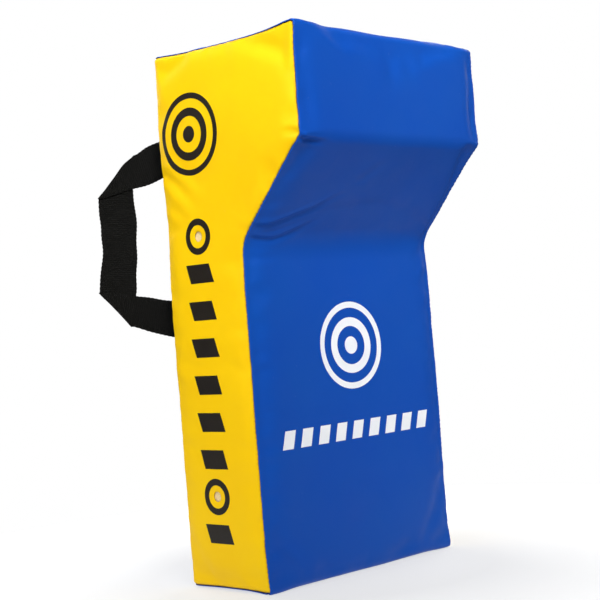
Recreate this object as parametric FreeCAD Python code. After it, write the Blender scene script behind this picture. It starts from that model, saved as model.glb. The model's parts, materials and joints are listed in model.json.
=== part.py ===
"""Rugby contact shield: a foam slab with an overhanging head, in a sewn cover.

Frame: +Z up, +X to the shield's left-hand side seen from behind, +Y from the
striking face to the back.  The origin is the middle of the flat base.
"left" in a node's name is the -X side and "right" is the +X side.
Lengths are millimetres and angles are degrees.
"""
import FreeCAD, Part
import math
import os

Vector = FreeCAD.Vector

# Shield body
shield_height = 750.0
shield_width = 380.0
slab_depth = 160.0
head_overhang = 120.0          # how far the head stands in front of the slab
head_face_height = 150.0       # upright face of the head
underside_rise = 130.0         # height gained by the head's sloping underside
cover_thickness = 1.0          # coated fabric

# Rounding of the cover's edges, seen from the side
base_front_radius = 14.0
hollow_radius = 45.0           # where the slab runs into the sloping underside
nose_radius = 28.0             # lower front edge of the head
brow_radius = 15.0             # upper front edge of the head
back_radius = 8.0              # both edges of the back

# Air vents through the side panels
vent_diameter = 14.0
vent_from_back = 74.0
vent_heights = (130.0, 488.0)

# Zip down the middle of the back
zip_end_margin = 60.0          # closed seam above and below the zip's chain
slot_side_gap = 1.0            # between the slider and each edge of the slot
tape_thickness = 0.8
tape_lap = 12.0                # tape held under each edge of the slot
coil_width = 3.2
coil_height = 2.4
stop_length = 4.0
stop_grip = 0.6                # how far a stop stands out round the coil
sliding_clearance = 0.3

# Zip slider, with its puller
slider_length = 16.0
slider_rail_width = 1.7        # side wall outside the coil
slider_plate = 1.2
slider_post_width = 1.0
slider_post_length = 5.0
bridge_width = 2.6
bridge_length = 11.0
bridge_leg = 1.4
puller_pin_diameter = 1.6
puller_pin_gap = 0.5           # free height under the bridge, on each side of the pin
puller_arm_width = 1.4
puller_side_gap = 0.5          # between the bridge and each arm of the puller
puller_end_gap = 0.9           # between the bridge's corner and the puller's grip
puller_grip_length = 24.0
puller_grip_width = 9.0

# Webbing handles
strap_width = 50.0
strap_thickness = 2.5
handle_angle = 45.0            # how far each loop stands out from the back
upper_anchor_drop = 132.0      # from the top of the shield to the strap's middle
upper_corner_drop = 160.0
lower_corner_drop = 354.0
lower_anchor_drop = 375.0
upper_corner_reach = 100.0     # from the hinge line to the strap's middle
lower_corner_reach = 110.0
loop_middle_gap = 8.0          # between a folded loop and the middle of the back
hinge_gap = 2.0                # strap left out on each side of the hinge line
sewn_end_length = 62.0

# Reinforcing patches and thread
patch_thickness = 1.0
patch_border = 9.0             # patch seen round the sewn ends
patch_corner_radius = 14.0
thread_width = 0.9
thread_height = 0.5
thread_inset = 6.0             # from the edge of the strap or panel
strap_clearance = 0.6          # between a folded loop and the thread under it

# Levels that follow from the sizes above
back_y = slab_depth / 2
front_y = -slab_depth / 2
head_front_y = front_y - head_overhang
side_x = shield_width / 2
nose_z = shield_height - head_face_height
hollow_z = nose_z - underside_rise
panel_inner_y = back_y - cover_thickness
tape_inner_y = panel_inner_y - tape_thickness
coil_outer_y = panel_inner_y + coil_height
slider_outer_y = coil_outer_y + sliding_clearance + slider_plate
slider_inner_y = tape_inner_y - sliding_clearance - slider_plate
foam_channel_y = slider_inner_y - sliding_clearance
zip_low_z = zip_end_margin
zip_high_z = shield_height - zip_end_margin
coil_gap = slider_post_width + 2 * sliding_clearance
slider_rail_x = coil_gap / 2 + coil_width + sliding_clearance
slider_half_width = slider_rail_x + slider_rail_width
zip_slot_width = 2 * (slider_half_width + slot_side_gap)
bridge_room = puller_pin_diameter + 2 * puller_pin_gap
tape_half_width = zip_slot_width / 2 + tape_lap
patch_outer_y = back_y + patch_thickness
sewn_end_outer_y = patch_outer_y + strap_thickness
hinge_y = sewn_end_outer_y + thread_height + strap_clearance + strap_thickness / 2


def box(x_range, y_range, z_range):
    """Solid box between two limits on each axis."""
    size = [high - low for low, high in (x_range, y_range, z_range)]
    corner = Vector(x_range[0], y_range[0], z_range[0])
    return Part.makeBox(*size, corner)


def fused(shapes):
    """One clean solid out of solids that touch or cross."""
    return shapes[0].multiFuse(shapes[1:]).removeSplitter()


def mirrored(shape):
    """The same piece on the other side of the shield."""
    return shape.mirror(Vector(0, 0, 0), Vector(1, 0, 0))


def rounded_outline(corners):
    """Closed wire through (point, radius) corners, with a tangent arc at each."""
    arcs = []
    for index, (corner, radius) in enumerate(corners):
        before = (corners[index - 1][0] - corner).normalize()
        after = (corners[(index + 1) % len(corners)][0] - corner).normalize()
        half_angle = before.getAngle(after) / 2
        bisector = (before + after).normalize()
        trim = radius / math.tan(half_angle)
        middle = corner + bisector * (radius / math.sin(half_angle) - radius)
        arcs.append((corner + before * trim, middle, corner + after * trim))
    edges = []
    for index, (start, middle, end) in enumerate(arcs):
        edges.append(Part.Arc(start, middle, end).toShape())
        next_start = arcs[(index + 1) % len(arcs)][0]
        edges.append(Part.makeLine(end, next_start))
    return Part.Wire(edges)


def side_profile(x):
    """The shield's outline seen from the side, in the plane at x."""
    return rounded_outline([
        (Vector(x, back_y, 0), back_radius),
        (Vector(x, front_y, 0), base_front_radius),
        (Vector(x, front_y, hollow_z), hollow_radius),
        (Vector(x, head_front_y, nose_z), nose_radius),
        (Vector(x, head_front_y, shield_height), brow_radius),
        (Vector(x, back_y, shield_height), back_radius),
    ])


def across(wire, x_high):
    """Solid from a wire in the side plane, stretched along X up to x_high."""
    face = Part.Face(wire)
    return face.extrude(Vector(x_high - face.BoundBox.XMin, 0, 0))


def zip_slot():
    """The opening in the back panel that shows the zip."""
    half = zip_slot_width / 2
    return box((-half, half), (panel_inner_y, back_y), (zip_low_z, zip_high_z))


def make_cover_band():
    """Front, bottom and back panels: the strip that runs round the two sides."""
    inner_x = side_x - cover_thickness
    outside = side_profile(-inner_x)
    inside = outside.makeOffset2D(-cover_thickness)
    band = across(outside, inner_x).cut(across(inside, inner_x))
    full_x = (-side_x, side_x)
    back_zone = box(full_x, (panel_inner_y, back_y), (back_radius, shield_height - back_radius))
    base_zone = box(full_x, (front_y + base_front_radius, back_y), (0, back_radius))
    back = band.common(back_zone).cut(zip_slot())
    bottom = band.common(base_zone)
    front = band.cut(back_zone).cut(base_zone)
    left_half = box((-side_x, 0), (panel_inner_y, back_y), (0, shield_height))
    return {
        "front_panel": front,
        "bottom_panel": bottom,
        "back_panel_left": back.common(left_half),
        "back_panel_right": back.cut(left_half),
    }


def make_side_panels():
    """Flat side panels, each with its air vents."""
    panel = across(side_profile(side_x - cover_thickness), side_x)
    for height in vent_heights:
        centre = Vector(side_x - 2 * cover_thickness, back_y - vent_from_back, height)
        panel = panel.cut(
            Part.makeCylinder(vent_diameter / 2, 3 * cover_thickness, centre, Vector(1, 0, 0))
        )
    return {"side_panel_right": panel, "side_panel_left": mirrored(panel)}


def make_foam():
    """Two foam blocks bonded together: the slab and the head in front of it."""
    inner_x = side_x - cover_thickness
    core = across(side_profile(-inner_x).makeOffset2D(-cover_thickness), inner_x)
    joint_y = front_y + cover_thickness
    tall = (0, shield_height)
    slab_zone = box((-side_x, side_x), (joint_y, back_y), tall)
    channel_x = tape_half_width + sliding_clearance
    channel_end = stop_length + sliding_clearance
    channel = box(
        (-channel_x, channel_x),
        (foam_channel_y, back_y),
        (zip_low_z - channel_end, zip_high_z + channel_end),
    )
    return {
        "foam_slab": core.common(slab_zone).cut(channel),
        "foam_head_block": core.cut(slab_zone),
    }


def make_zip():
    """Tapes, coils and end stops of the zip."""
    inner = coil_gap / 2
    outer = inner + coil_width
    tape_z = (zip_low_z - stop_length, zip_high_z + stop_length)
    tape = box((inner, tape_half_width), (tape_inner_y, panel_inner_y), tape_z)
    coil_z = (zip_low_z + stop_length, zip_high_z - stop_length)
    coil = box((inner, outer), (panel_inner_y, coil_outer_y), coil_z)
    coil = coil.makeFillet(coil_height / 3, [
        edge for edge in coil.Edges
        if edge.BoundBox.YMin > coil_outer_y - cover_thickness / 2 and edge.BoundBox.ZLength > stop_length
    ])
    stop_y = (panel_inner_y, coil_outer_y + stop_grip)
    low_stop = box((inner, outer + stop_grip), stop_y, (zip_low_z, zip_low_z + stop_length))
    high_x = outer + stop_grip
    high_stop = box((-high_x, high_x), stop_y, (zip_high_z - stop_length, zip_high_z))
    return {
        "zip_tape_right": tape,
        "zip_tape_left": mirrored(tape),
        "zip_coil_right": coil,
        "zip_coil_left": mirrored(coil),
        "zip_end_stops": Part.makeCompound([low_stop, mirrored(low_stop), high_stop]),
    }


def make_slider():
    """Zip slider, closed against the two lower stops."""
    low_z = zip_low_z + stop_length + sliding_clearance
    high_z = low_z + slider_length
    middle_z = (low_z + high_z) / 2
    half = slider_half_width
    roof_y = coil_outer_y + sliding_clearance
    bridge_base_y = slider_outer_y
    bridge_inner_y = bridge_base_y + bridge_room
    post = slider_post_width / 2
    bridge_x = (-bridge_width / 2, bridge_width / 2)
    bridge_low = middle_z - bridge_length / 2
    bridge_high = middle_z + bridge_length / 2
    roof = box((-half, half), (roof_y, slider_outer_y), (low_z, high_z))
    floor = box((-half, half), (slider_inner_y, slider_inner_y + slider_plate), (low_z, high_z))
    rail = box((slider_rail_x, half), (panel_inner_y + sliding_clearance, roof_y), (low_z, high_z))
    web = box((-post, post), (slider_inner_y, roof_y), (low_z, low_z + slider_post_length))
    bridge_top = box(bridge_x, (bridge_inner_y, bridge_inner_y + bridge_leg), (bridge_low, bridge_high))
    leg_y = (bridge_base_y, bridge_inner_y)
    legs = [
        box(bridge_x, leg_y, (bridge_low, bridge_low + bridge_leg)),
        box(bridge_x, leg_y, (bridge_high - bridge_leg, bridge_high)),
    ]
    slider = fused([roof, floor, rail, mirrored(rail), web, bridge_top] + legs)
    pin_y = bridge_base_y + bridge_room / 2
    return {"zip_slider": slider, "zip_puller": make_puller(pin_y, middle_z)}


def make_puller(pin_y, pin_z):
    """Puller hanging from its pin, which passes under the slider's bridge."""
    pin_radius = puller_pin_diameter / 2
    arm_inner = bridge_width / 2 + puller_side_gap
    arm_outer = arm_inner + puller_arm_width
    corner_reach = math.hypot(bridge_length / 2, bridge_room / 2 + bridge_leg)
    grip_top = pin_z - corner_reach - puller_end_gap
    depth = (pin_y - pin_radius, pin_y + pin_radius)
    pin = Part.makeCylinder(pin_radius, 2 * arm_outer, Vector(-arm_outer, pin_y, pin_z), Vector(1, 0, 0))
    arm = box((arm_inner, arm_outer), depth, (grip_top, pin_z))
    arm_end = Part.makeCylinder(
        pin_radius, puller_arm_width, Vector(arm_inner, pin_y, pin_z), Vector(1, 0, 0)
    )
    half = puller_grip_width / 2
    grip = box((-half, half), depth, (grip_top - puller_grip_length, grip_top))
    rounded = [edge for edge in grip.Edges if edge.BoundBox.YLength > pin_radius]
    grip = grip.makeFillet(half / 2, rounded)
    return fused([pin, arm, mirrored(arm), arm_end, mirrored(arm_end), grip])


def strap_points():
    """Middle of the loop's strap as (reach, height): anchor, corner, corner, anchor."""
    return [
        Vector(0, 0, shield_height - upper_anchor_drop),
        Vector(upper_corner_reach, 0, shield_height - upper_corner_drop),
        Vector(lower_corner_reach, 0, shield_height - lower_corner_drop),
        Vector(0, 0, shield_height - lower_anchor_drop),
    ]


def strap_run(start, end, start_cut, end_cut, layer):
    """Flat length of strap between two points, each end cut along a direction."""
    along = (end - start).normalize()
    normal = Vector(-along.z, 0, along.x)
    corners = []
    for point, cut, side in ((start, start_cut, 1), (end, end_cut, 1), (end, end_cut, -1), (start, start_cut, -1)):
        edge_point = normal * (side * strap_width / 2)
        slide = -edge_point.cross(cut).y / along.cross(cut).y
        corners.append(point + edge_point + along * slide + Vector(0, layer, 0))
    outline = Part.makePolygon(corners + corners[:1])
    return Part.Face(outline).extrude(Vector(0, strap_thickness, 0))


def crease(before, corner, after):
    """Direction of the fold that turns the strap at a corner."""
    return ((corner - before).normalize() + (after - corner).normalize()).normalize()


def loop_in_plane():
    """The handle's free loop, flat in the XZ plane with its hinge line at x = 0."""
    upper, corner_high, corner_low, lower = strap_points()
    upright = Vector(0, 0, 1)
    high_fold = crease(upper, corner_high, corner_low)
    low_fold = crease(corner_high, corner_low, lower)
    arm_layer = -strap_thickness / 2
    grip_layer = strap_thickness / 2

    def beyond_hinge(anchor, corner):
        along = (corner - anchor).normalize()
        return anchor + along * (hinge_gap / along.x)

    return fused([
        strap_run(beyond_hinge(upper, corner_high), corner_high, upright, high_fold, arm_layer),
        strap_run(corner_high, corner_low, high_fold, low_fold, grip_layer),
        strap_run(corner_low, beyond_hinge(lower, corner_low), low_fold, upright, arm_layer),
    ])


def sewn_ends_in_plane():
    """The strap's two sewn ends, in line with the arms of the loop, with x below 0."""
    upper, corner_high, corner_low, lower = strap_points()
    ends = []
    for anchor, corner in ((upper, corner_high), (lower, corner_low)):
        inward = (anchor - corner).normalize()
        start = anchor - inward * (hinge_gap / inward.x)
        finish = anchor + inward * sewn_end_length
        square_cut = Vector(-inward.z, 0, inward.x)
        ends.append((strap_run(start, finish, Vector(0, 0, 1), square_cut, 0), start, finish))
    return ends


def box_stitching(start, finish):
    """Thread sewn as a rectangle with a cross, on the plane y = 0."""
    along = (finish - start).normalize()
    normal = Vector(-along.z, 0, along.x)
    half = strap_width / 2 - thread_inset
    skew = abs(along.z / along.x) * strap_width / 2
    near = start + along * (thread_inset + skew)
    far = finish - along * thread_inset
    corners = [near + normal * half, far + normal * half, far - normal * half, near - normal * half]
    rows = [(corners[i], corners[(i + 1) % 4]) for i in range(4)]
    rows += [(corners[0], corners[2]), (corners[1], corners[3])]
    return fused([thread_row(first, last) for first, last in rows])


def thread_row(first, last):
    """One straight row of thread lying on the plane y = 0."""
    along = (last - first).normalize()
    side = Vector(-along.z, 0, along.x) * (thread_width / 2)
    reach = along * (thread_width / 2)
    corners = [first - reach + side, last + reach + side, last + reach - side, first - reach - side]
    outline = Part.makePolygon(corners + corners[:1])
    return Part.Face(outline).extrude(Vector(0, thread_height, 0))


def make_handle():
    """Both handles: free loop, sewn ends, reinforcing patch and thread."""
    loop = loop_in_plane()
    hinge_x = loop.BoundBox.XMax + loop_middle_gap
    loop.rotate(Vector(0, 0, 0), Vector(0, 0, 1), handle_angle)
    loop.translate(Vector(hinge_x, hinge_y, 0))
    ends, threads = [], []
    for end, start, finish in sewn_ends_in_plane():
        end.translate(Vector(hinge_x, patch_outer_y, 0))
        thread = box_stitching(start, finish)
        thread.translate(Vector(hinge_x, sewn_end_outer_y, 0))
        ends.append(end)
        threads.append(thread)
    sewn_ends = Part.makeCompound(ends)
    limits = sewn_ends.BoundBox
    patch = rounded_patch(
        (limits.XMin - patch_border, limits.XMax + patch_border),
        (limits.ZMin - patch_border, limits.ZMax + patch_border),
    )
    pieces = {
        "handle_strap": loop,
        "handle_ends": sewn_ends,
        "handle_stitching": Part.makeCompound(threads),
        "handle_patch": patch,
    }
    nodes = {}
    for name, piece in pieces.items():
        nodes[name + "_right"] = piece
        nodes[name + "_left"] = mirrored(piece)
    return nodes


def rounded_patch(x_range, z_range):
    """Flat patch with rounded corners on the back panel."""
    patch = box(x_range, (back_y, patch_outer_y), z_range)
    corners = [edge for edge in patch.Edges if edge.BoundBox.YLength > patch_thickness / 2]
    return patch.makeFillet(patch_corner_radius, corners)


def make_zip_stitching():
    """One row of thread beside each edge of the zip's slot."""
    row_x = zip_slot_width / 2 + thread_inset / 2
    row = thread_row(Vector(row_x, 0, zip_low_z), Vector(row_x, 0, zip_high_z))
    row.translate(Vector(0, back_y, 0))
    return {"zip_stitching": Part.makeCompound([row, mirrored(row)])}


def main():
    """Make every node and write one STEP file for each."""
    nodes = {}
    for make in (
        make_foam,
        make_cover_band,
        make_side_panels,
        make_zip,
        make_slider,
        make_handle,
        make_zip_stitching,
    ):
        nodes.update(make())
    os.makedirs("parts", exist_ok=True)
    for name, shape in sorted(nodes.items()):
        shape.exportStep("parts/" + name + ".step")
        print(name, len(shape.Solids), shape.isValid(), round(shape.Volume), shape.BoundBox)


main()
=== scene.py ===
import json
import math
import bpy
import numpy as np
from mathutils import Matrix, Vector
from mathutils.kdtree import KDTree
from mathutils.geometry import delaunay_2d_cdt


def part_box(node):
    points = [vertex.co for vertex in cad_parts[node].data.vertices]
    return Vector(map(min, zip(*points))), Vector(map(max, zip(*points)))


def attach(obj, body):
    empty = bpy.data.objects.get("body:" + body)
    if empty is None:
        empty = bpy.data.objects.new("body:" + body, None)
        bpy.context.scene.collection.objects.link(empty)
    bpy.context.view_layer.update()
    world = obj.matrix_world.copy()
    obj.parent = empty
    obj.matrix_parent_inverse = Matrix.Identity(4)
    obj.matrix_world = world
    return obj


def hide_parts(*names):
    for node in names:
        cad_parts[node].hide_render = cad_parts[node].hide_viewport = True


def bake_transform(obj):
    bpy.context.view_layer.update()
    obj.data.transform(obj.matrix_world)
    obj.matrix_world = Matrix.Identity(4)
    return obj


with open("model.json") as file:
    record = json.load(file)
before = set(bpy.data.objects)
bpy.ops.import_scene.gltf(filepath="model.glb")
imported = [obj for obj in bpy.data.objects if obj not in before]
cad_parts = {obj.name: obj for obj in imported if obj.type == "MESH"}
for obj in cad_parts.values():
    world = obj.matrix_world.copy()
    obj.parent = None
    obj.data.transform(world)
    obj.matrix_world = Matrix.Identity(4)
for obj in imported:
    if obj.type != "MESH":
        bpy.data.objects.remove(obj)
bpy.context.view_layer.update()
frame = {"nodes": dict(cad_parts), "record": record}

MM = 0.001
LEFT, RIGHT = -1, 1
SIDES = ((LEFT, "left"), (RIGHT, "right"))
BACKWARDS = np.array([0.0, 1.0, 0.0])

# ======== sizes read from the frame
side_low, side_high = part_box("side_panel_right")
slab_low, slab_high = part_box("foam_slab")
patch_low, patch_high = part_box("handle_patch_right")
ends_low, ends_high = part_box("handle_ends_right")
zip_low, zip_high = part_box("zip_end_stops")
tape_low, tape_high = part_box("zip_tape_right")
coil_low, coil_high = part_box("zip_coil_right")

HALF_WIDTH = side_high.x
HEIGHT = side_high.z
BACK_Y = side_high.y
HEAD_Y = side_low.y
FRONT_Y = slab_low.y - (side_high.x - slab_high.x)
NOSE_Z = HEIGHT - 150 * MM
HOLLOW_Z = NOSE_Z - 130 * MM

joints = {joint["name"]: joint for joint in frame["record"]["behaviour"]["joints"]}
HINGE_X, HINGE_Y = joints["handle_right_swing"]["pos_m"][:2]

# ======== sizes of the sewn cover
EDGE_ROLL = 1.8 * MM           # the strip's edge rolls over by this much into the side seam
GROOVE = 1.1 * MM              # depth of the seam below the roll
SHELL = 1.2 * MM               # coated fabric
BACK_WRAP = 5.5 * MM           # the side panels turn this far round onto the back
WRAP_RADIUS = 6.5 * MM
TOP_WRAP, BASE_WRAP = 0.55, 0.45  # shares of that turn along the top and the base
PUCKER_LENGTH = 7.2 * MM
PUCKER_HEIGHT = 0.35 * MM
PULL_DEPTH = 1.5 * MM          # the strip is drawn in along its side seams
PULL_REACH = 17 * MM
SLACK_DEPTH = 1.4 * MM         # and a little more on the right side of the hollow
CROWN = 1.4 * MM               # the strip's middle stands this far over its edges
SIDE_CROWN = 1.8 * MM
END_GROOVE = 1.3 * MM          # seams across the strip
END_GROOVE_REACH = 1.6 * MM
SLOT_HALF = 7 * MM             # half the opening that shows the zip
SEAM_GAP = 0.02 * MM           # half the gap where the back panels meet above and below it
VENT_RADIUS = 7 * MM
VENT_DIMPLE = 0.9 * MM
VENT_Y = BACK_Y - 74 * MM
VENT_LOW, VENT_HIGH = 130 * MM, 488 * MM
VENTS = [(VENT_Y, VENT_LOW), (VENT_Y, VENT_HIGH)]


# ======== mesh helpers
def smoothstep(low, high, value):
    """0 below low, 1 above high, smooth between."""
    t = np.clip((value - low) / (high - low), 0, 1)
    return t * t * (3 - 2 * t)


def unit(vector):
    """Vector of length one."""
    return vector / np.linalg.norm(vector)


def make_waves(seed, count, shortest, longest):
    """Random plane waves for a smooth, repeatable unevenness."""
    rng = np.random.default_rng(seed)
    directions = rng.normal(size=(count, 3))
    directions /= np.linalg.norm(directions, axis=1)[:, None]
    lengths = np.exp(rng.uniform(math.log(shortest), math.log(longest), count))
    phases = rng.uniform(0, math.tau, count)
    weights = np.sqrt(lengths / longest)
    return directions * (math.tau / lengths)[:, None], phases, weights / np.sqrt((weights ** 2).sum() / 2)


def uneven(points, waves):
    """Smooth noise of about unit size at each point."""
    vectors, phases, weights = waves
    return (np.sin(points @ vectors.T + phases) * weights).sum(-1)


BROAD = make_waves(3, 14, 70 * MM, 260 * MM)
FINE = make_waves(11, 24, 9 * MM, 34 * MM)
PATCHY = make_waves(29, 8, 60 * MM, 180 * MM)


def vertex_normals(points, faces):
    """Area-weighted normals of a mesh of triangles and quads."""
    normals = np.zeros_like(points)
    for size in (3, 4):
        group = np.array([face for face in faces if len(face) == size])
        if len(group) == 0:
            continue
        a, c = points[group[:, 0]], points[group[:, 2]]
        b, d = points[group[:, 1]], points[group[:, -1]]
        cross = np.cross(c - a, d - b) if size == 4 else np.cross(b - a, c - a)
        for corner in range(size):
            np.add.at(normals, group[:, corner], cross)
    lengths = np.linalg.norm(normals, axis=1)
    return normals / np.maximum(lengths, 1e-12)[:, None]


def border_edges(faces):
    """Directed edges that belong to one face only."""
    seen = {}
    for face in faces:
        for i, a in enumerate(face):
            b = face[(i + 1) % len(face)]
            seen[(a, b)] = True
    return [(a, b) for a, b in seen if (b, a) not in seen]


def thicken(points, faces, thickness):
    """Closed shell: the sheet, a copy of it below by thickness, and a rim."""
    normals = vertex_normals(points, faces)
    count = len(points)
    shell = np.vstack([points, points - normals * thickness])
    under = [tuple(v + count for v in reversed(face)) for face in faces]
    rim = [(b, a, a + count, b + count) for a, b in border_edges(faces)]
    return shell, list(faces) + under + rim


def make_object(name, points, faces, material):
    """Smooth-shaded mesh object from arrays."""
    mesh = bpy.data.meshes.new(name)
    mesh.from_pydata([tuple(p) for p in np.asarray(points, float)], [], [tuple(f) for f in faces])
    mesh.validate()
    mesh.materials.append(material)
    mesh.polygons.foreach_set("use_smooth", [True] * len(mesh.polygons))
    mesh.update()
    piece = bpy.data.objects.new(name, mesh)
    bpy.context.scene.collection.objects.link(piece)
    return piece


def set_attribute(piece, name, values):
    """Float value on each vertex, for the materials to read."""
    attribute = piece.data.attributes.new(name, "FLOAT", "POINT")
    attribute.data.foreach_set("value", np.asarray(values, np.float32))


def sharpen(piece, degrees=40):
    """Keep edges crisper than this angle sharp."""
    piece.data.set_sharp_from_angle(angle=math.radians(degrees))


def grid_faces(rows, columns):
    """Quads of a grid whose vertices run along columns first."""
    faces = []
    for row in range(rows - 1):
        for column in range(columns - 1):
            a = row * columns + column
            b = a + columns
            faces.append((a, a + 1, b + 1, b))
    return faces


def turned_over(faces):
    """Faces with their order reversed, so that they look the other way."""
    return [tuple(reversed(face)) for face in faces]


def facing_faces(points, faces, direction):
    """Triangles turned over where needed, so that their normals follow a direction."""
    a, b, c = (points[faces[:, i]] for i in range(3))
    agrees = np.cross(b - a, c - a) @ direction > 0
    return [tuple(face) if same else tuple(reversed(face)) for face, same in zip(faces.tolist(), agrees)]


def adopt(piece, body, slot, *nodes):
    """Ride on a body and hide the CAD nodes; the slot is not used."""
    if nodes:
        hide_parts(*nodes)
    if body:
        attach(piece, body)
    return piece


def add_panel(name, cloth, faces, seam, material, slot, node):
    """Panel of the cover as a closed shell, with the weight of the painted shade along its seams on each
    vertex.
    """
    shell, shell_faces = thicken(cloth, faces, SHELL)
    piece = make_object(name, shell, shell_faces, material)
    set_attribute(piece, "seam", np.concatenate([seam, np.ones(len(cloth))]))
    adopt(piece, "shield", slot, node)


def distance_to_ring(points, ring):
    """Shortest distance from each point (y, z) to a closed ring."""
    start, end = ring, np.roll(ring, -1, axis=0)
    step = end - start
    best = np.full(len(points), 1e9)
    length2 = (step ** 2).sum(1)
    for chunk in range(0, len(points), 2000):
        part = points[chunk:chunk + 2000]
        gap = part[:, None, :] - start[None]
        t = np.clip((gap * step[None]).sum(-1) / length2[None], 0, 1)
        near = gap - t[..., None] * step[None]
        best[chunk:chunk + 2000] = np.sqrt((near ** 2).sum(-1).min(1))
    return best


def inside_ring(points, ring):
    """Which points (y, z) lie inside a closed ring."""
    y, z = points[:, 0][:, None], points[:, 1][:, None]
    a, b = ring, np.roll(ring, -1, axis=0)
    crosses = (a[:, 1] > z) != (b[:, 1] > z)
    rise = np.where(b[:, 1] == a[:, 1], 1e-12, b[:, 1] - a[:, 1])
    at = a[:, 0] + (z - a[:, 1]) / rise * (b[:, 0] - a[:, 0])
    return (crosses & (y < at)).sum(1) % 2 == 1


# ======== materials
def srgb(red, green, blue):
    """Linear colour from 8-bit sRGB values."""
    def linear(value):
        value /= 255
        return value / 12.92 if value <= 0.04045 else ((value + 0.055) / 1.055) ** 2.4
    return (linear(red), linear(green), linear(blue), 1.0)


class Nodes:
    """Short way to write a node tree."""

    def __init__(self, name):
        self.material = bpy.data.materials.new(name)
        self.material.use_nodes = True
        self.tree = self.material.node_tree
        self.shader = self.tree.nodes["Principled BSDF"]
        self.place = self.add("ShaderNodeTexCoord").outputs["Object"]

    def add(self, kind, inputs=None, **settings):
        node = self.tree.nodes.new(kind)
        for key, value in settings.items():
            setattr(node, key, value)
        for key, value in (inputs or {}).items():
            self.plug(node.inputs[key], value)
        return node

    def plug(self, socket, value):
        if isinstance(value, bpy.types.NodeSocket):
            self.tree.links.new(value, socket)
        else:
            socket.default_value = value

    def noise(self, scale, detail=2.0, rough=0.5):
        inputs = {"Scale": scale, "Detail": detail, "Roughness": rough, "Vector": self.place}
        return self.add("ShaderNodeTexNoise", inputs).outputs["Fac"]

    def cloud(self, scale, detail, rough, low, high, to_low, to_high):
        """Noise stretched from low..high to to_low..to_high."""
        return self.span(self.noise(scale, detail, rough), low, high, to_low, to_high)

    def math(self, operation, first, second=0.0):
        return self.add("ShaderNodeMath", {0: first, 1: second}, operation=operation).outputs[0]

    def span(self, value, low, high, to_low, to_high):
        inputs = {"Value": value, "From Min": low, "From Max": high, "To Min": to_low, "To Max": to_high}
        return self.add("ShaderNodeMapRange", inputs).outputs["Result"]

    def mix(self, factor, first, second):
        node = self.add("ShaderNodeMix", {0: factor, 6: first, 7: second}, data_type="RGBA", blend_type="MIX")
        return node.outputs[2]

    def attribute(self, name):
        return self.add("ShaderNodeAttribute", attribute_name=name).outputs["Fac"]

    def bump(self, height, strength, distance, under=None):
        inputs = {"Height": height, "Strength": strength, "Distance": distance}
        if under is not None:
            inputs["Normal"] = under
        return self.add("ShaderNodeBump", inputs).outputs["Normal"]

    def finish(self, **sockets):
        for key, value in sockets.items():
            self.plug(self.shader.inputs[key.replace("_", " ")], value)
        return self.material


def weave_height(nodes, pitch):
    """Crossed threads along all three axes, seen faintly through a coating."""
    axes = nodes.add("ShaderNodeSeparateXYZ", {0: nodes.place})
    total = None
    for axis in ("X", "Y", "Z"):
        wave = nodes.math("SINE", nodes.math("MULTIPLY", axes.outputs[axis], math.tau / pitch))
        total = wave if total is None else nodes.math("ADD", total, wave)
    return total


GRAIN_SCALE = 1500.0           # pores of the coating
BASE_CLOTH_PITCH = 1.3 * MM
YARN_PITCH = 0.9 * MM
TAPE_RIB = 1.1 * MM
STRAP_RIB = 2.9 * MM
SCUFF_WHITE = (0.9, 0.9, 0.92, 1.0)


def vinyl(name, colour, shade, painted_seam_shade):
    """Coated fabric: satin skin with a fine grain over the base cloth, scuffs, and painted shade along the
    seams.
    """
    nodes = Nodes(name)
    tone = nodes.cloud(7.0, 3.0, 0.55, 0.3, 0.7, 0.0, 1.0)
    scuff = nodes.cloud(95.0, 6.0, 0.75, 0.66, 0.74, 0.0, 0.22)
    seam = nodes.span(nodes.attribute("seam"), 0.0, 1.0, 0.0, 1.0)
    base = nodes.mix(tone, colour, shade)
    base = nodes.mix(scuff, base, nodes.mix(0.25, base, SCUFF_WHITE))
    # Painted shade: the colour turns to the darker seam shade where the seam weight is high, in the seam
    # grooves and along patch edges.
    base = nodes.mix(seam, base, painted_seam_shade)
    rough_cloud = nodes.cloud(26.0, 4.0, 0.6, 0.3, 0.7, 0.44, 0.56)
    roughness = nodes.math("ADD", rough_cloud, nodes.math("MULTIPLY", scuff, 0.5))
    pores = nodes.bump(nodes.noise(GRAIN_SCALE, 2.0, 0.6), 0.10, 0.4 * MM)
    weave = nodes.bump(weave_height(nodes, BASE_CLOTH_PITCH), 0.05, 0.3 * MM, pores)
    dents = nodes.bump(nodes.noise(38.0, 3.0, 0.5), 0.18, 1.2 * MM, weave)
    return nodes.finish(Base_Color=base, Roughness=roughness, Normal=dents, Specular_IOR_Level=0.13)


def ink(name, colour, worn):
    """Screen-printed ink: a flat film that shows the grain and a few rubbed specks."""
    nodes = Nodes(name)
    rubbed = nodes.cloud(420.0, 4.0, 0.7, 0.62, 0.72, 0.0, 0.55)
    cloud = nodes.cloud(30.0, 3.0, 0.5, 0.35, 0.65, 0.0, 0.25)
    base = nodes.mix(nodes.math("MAXIMUM", rubbed, cloud), colour, worn)
    grain = nodes.bump(nodes.noise(GRAIN_SCALE, 2.0, 0.6), 0.12, 0.4 * MM)
    roughness = nodes.cloud(60.0, 3.0, 0.6, 0.3, 0.7, 0.42, 0.58)
    return nodes.finish(Base_Color=base, Roughness=roughness, Normal=grain, Specular_IOR_Level=0.3)


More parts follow.
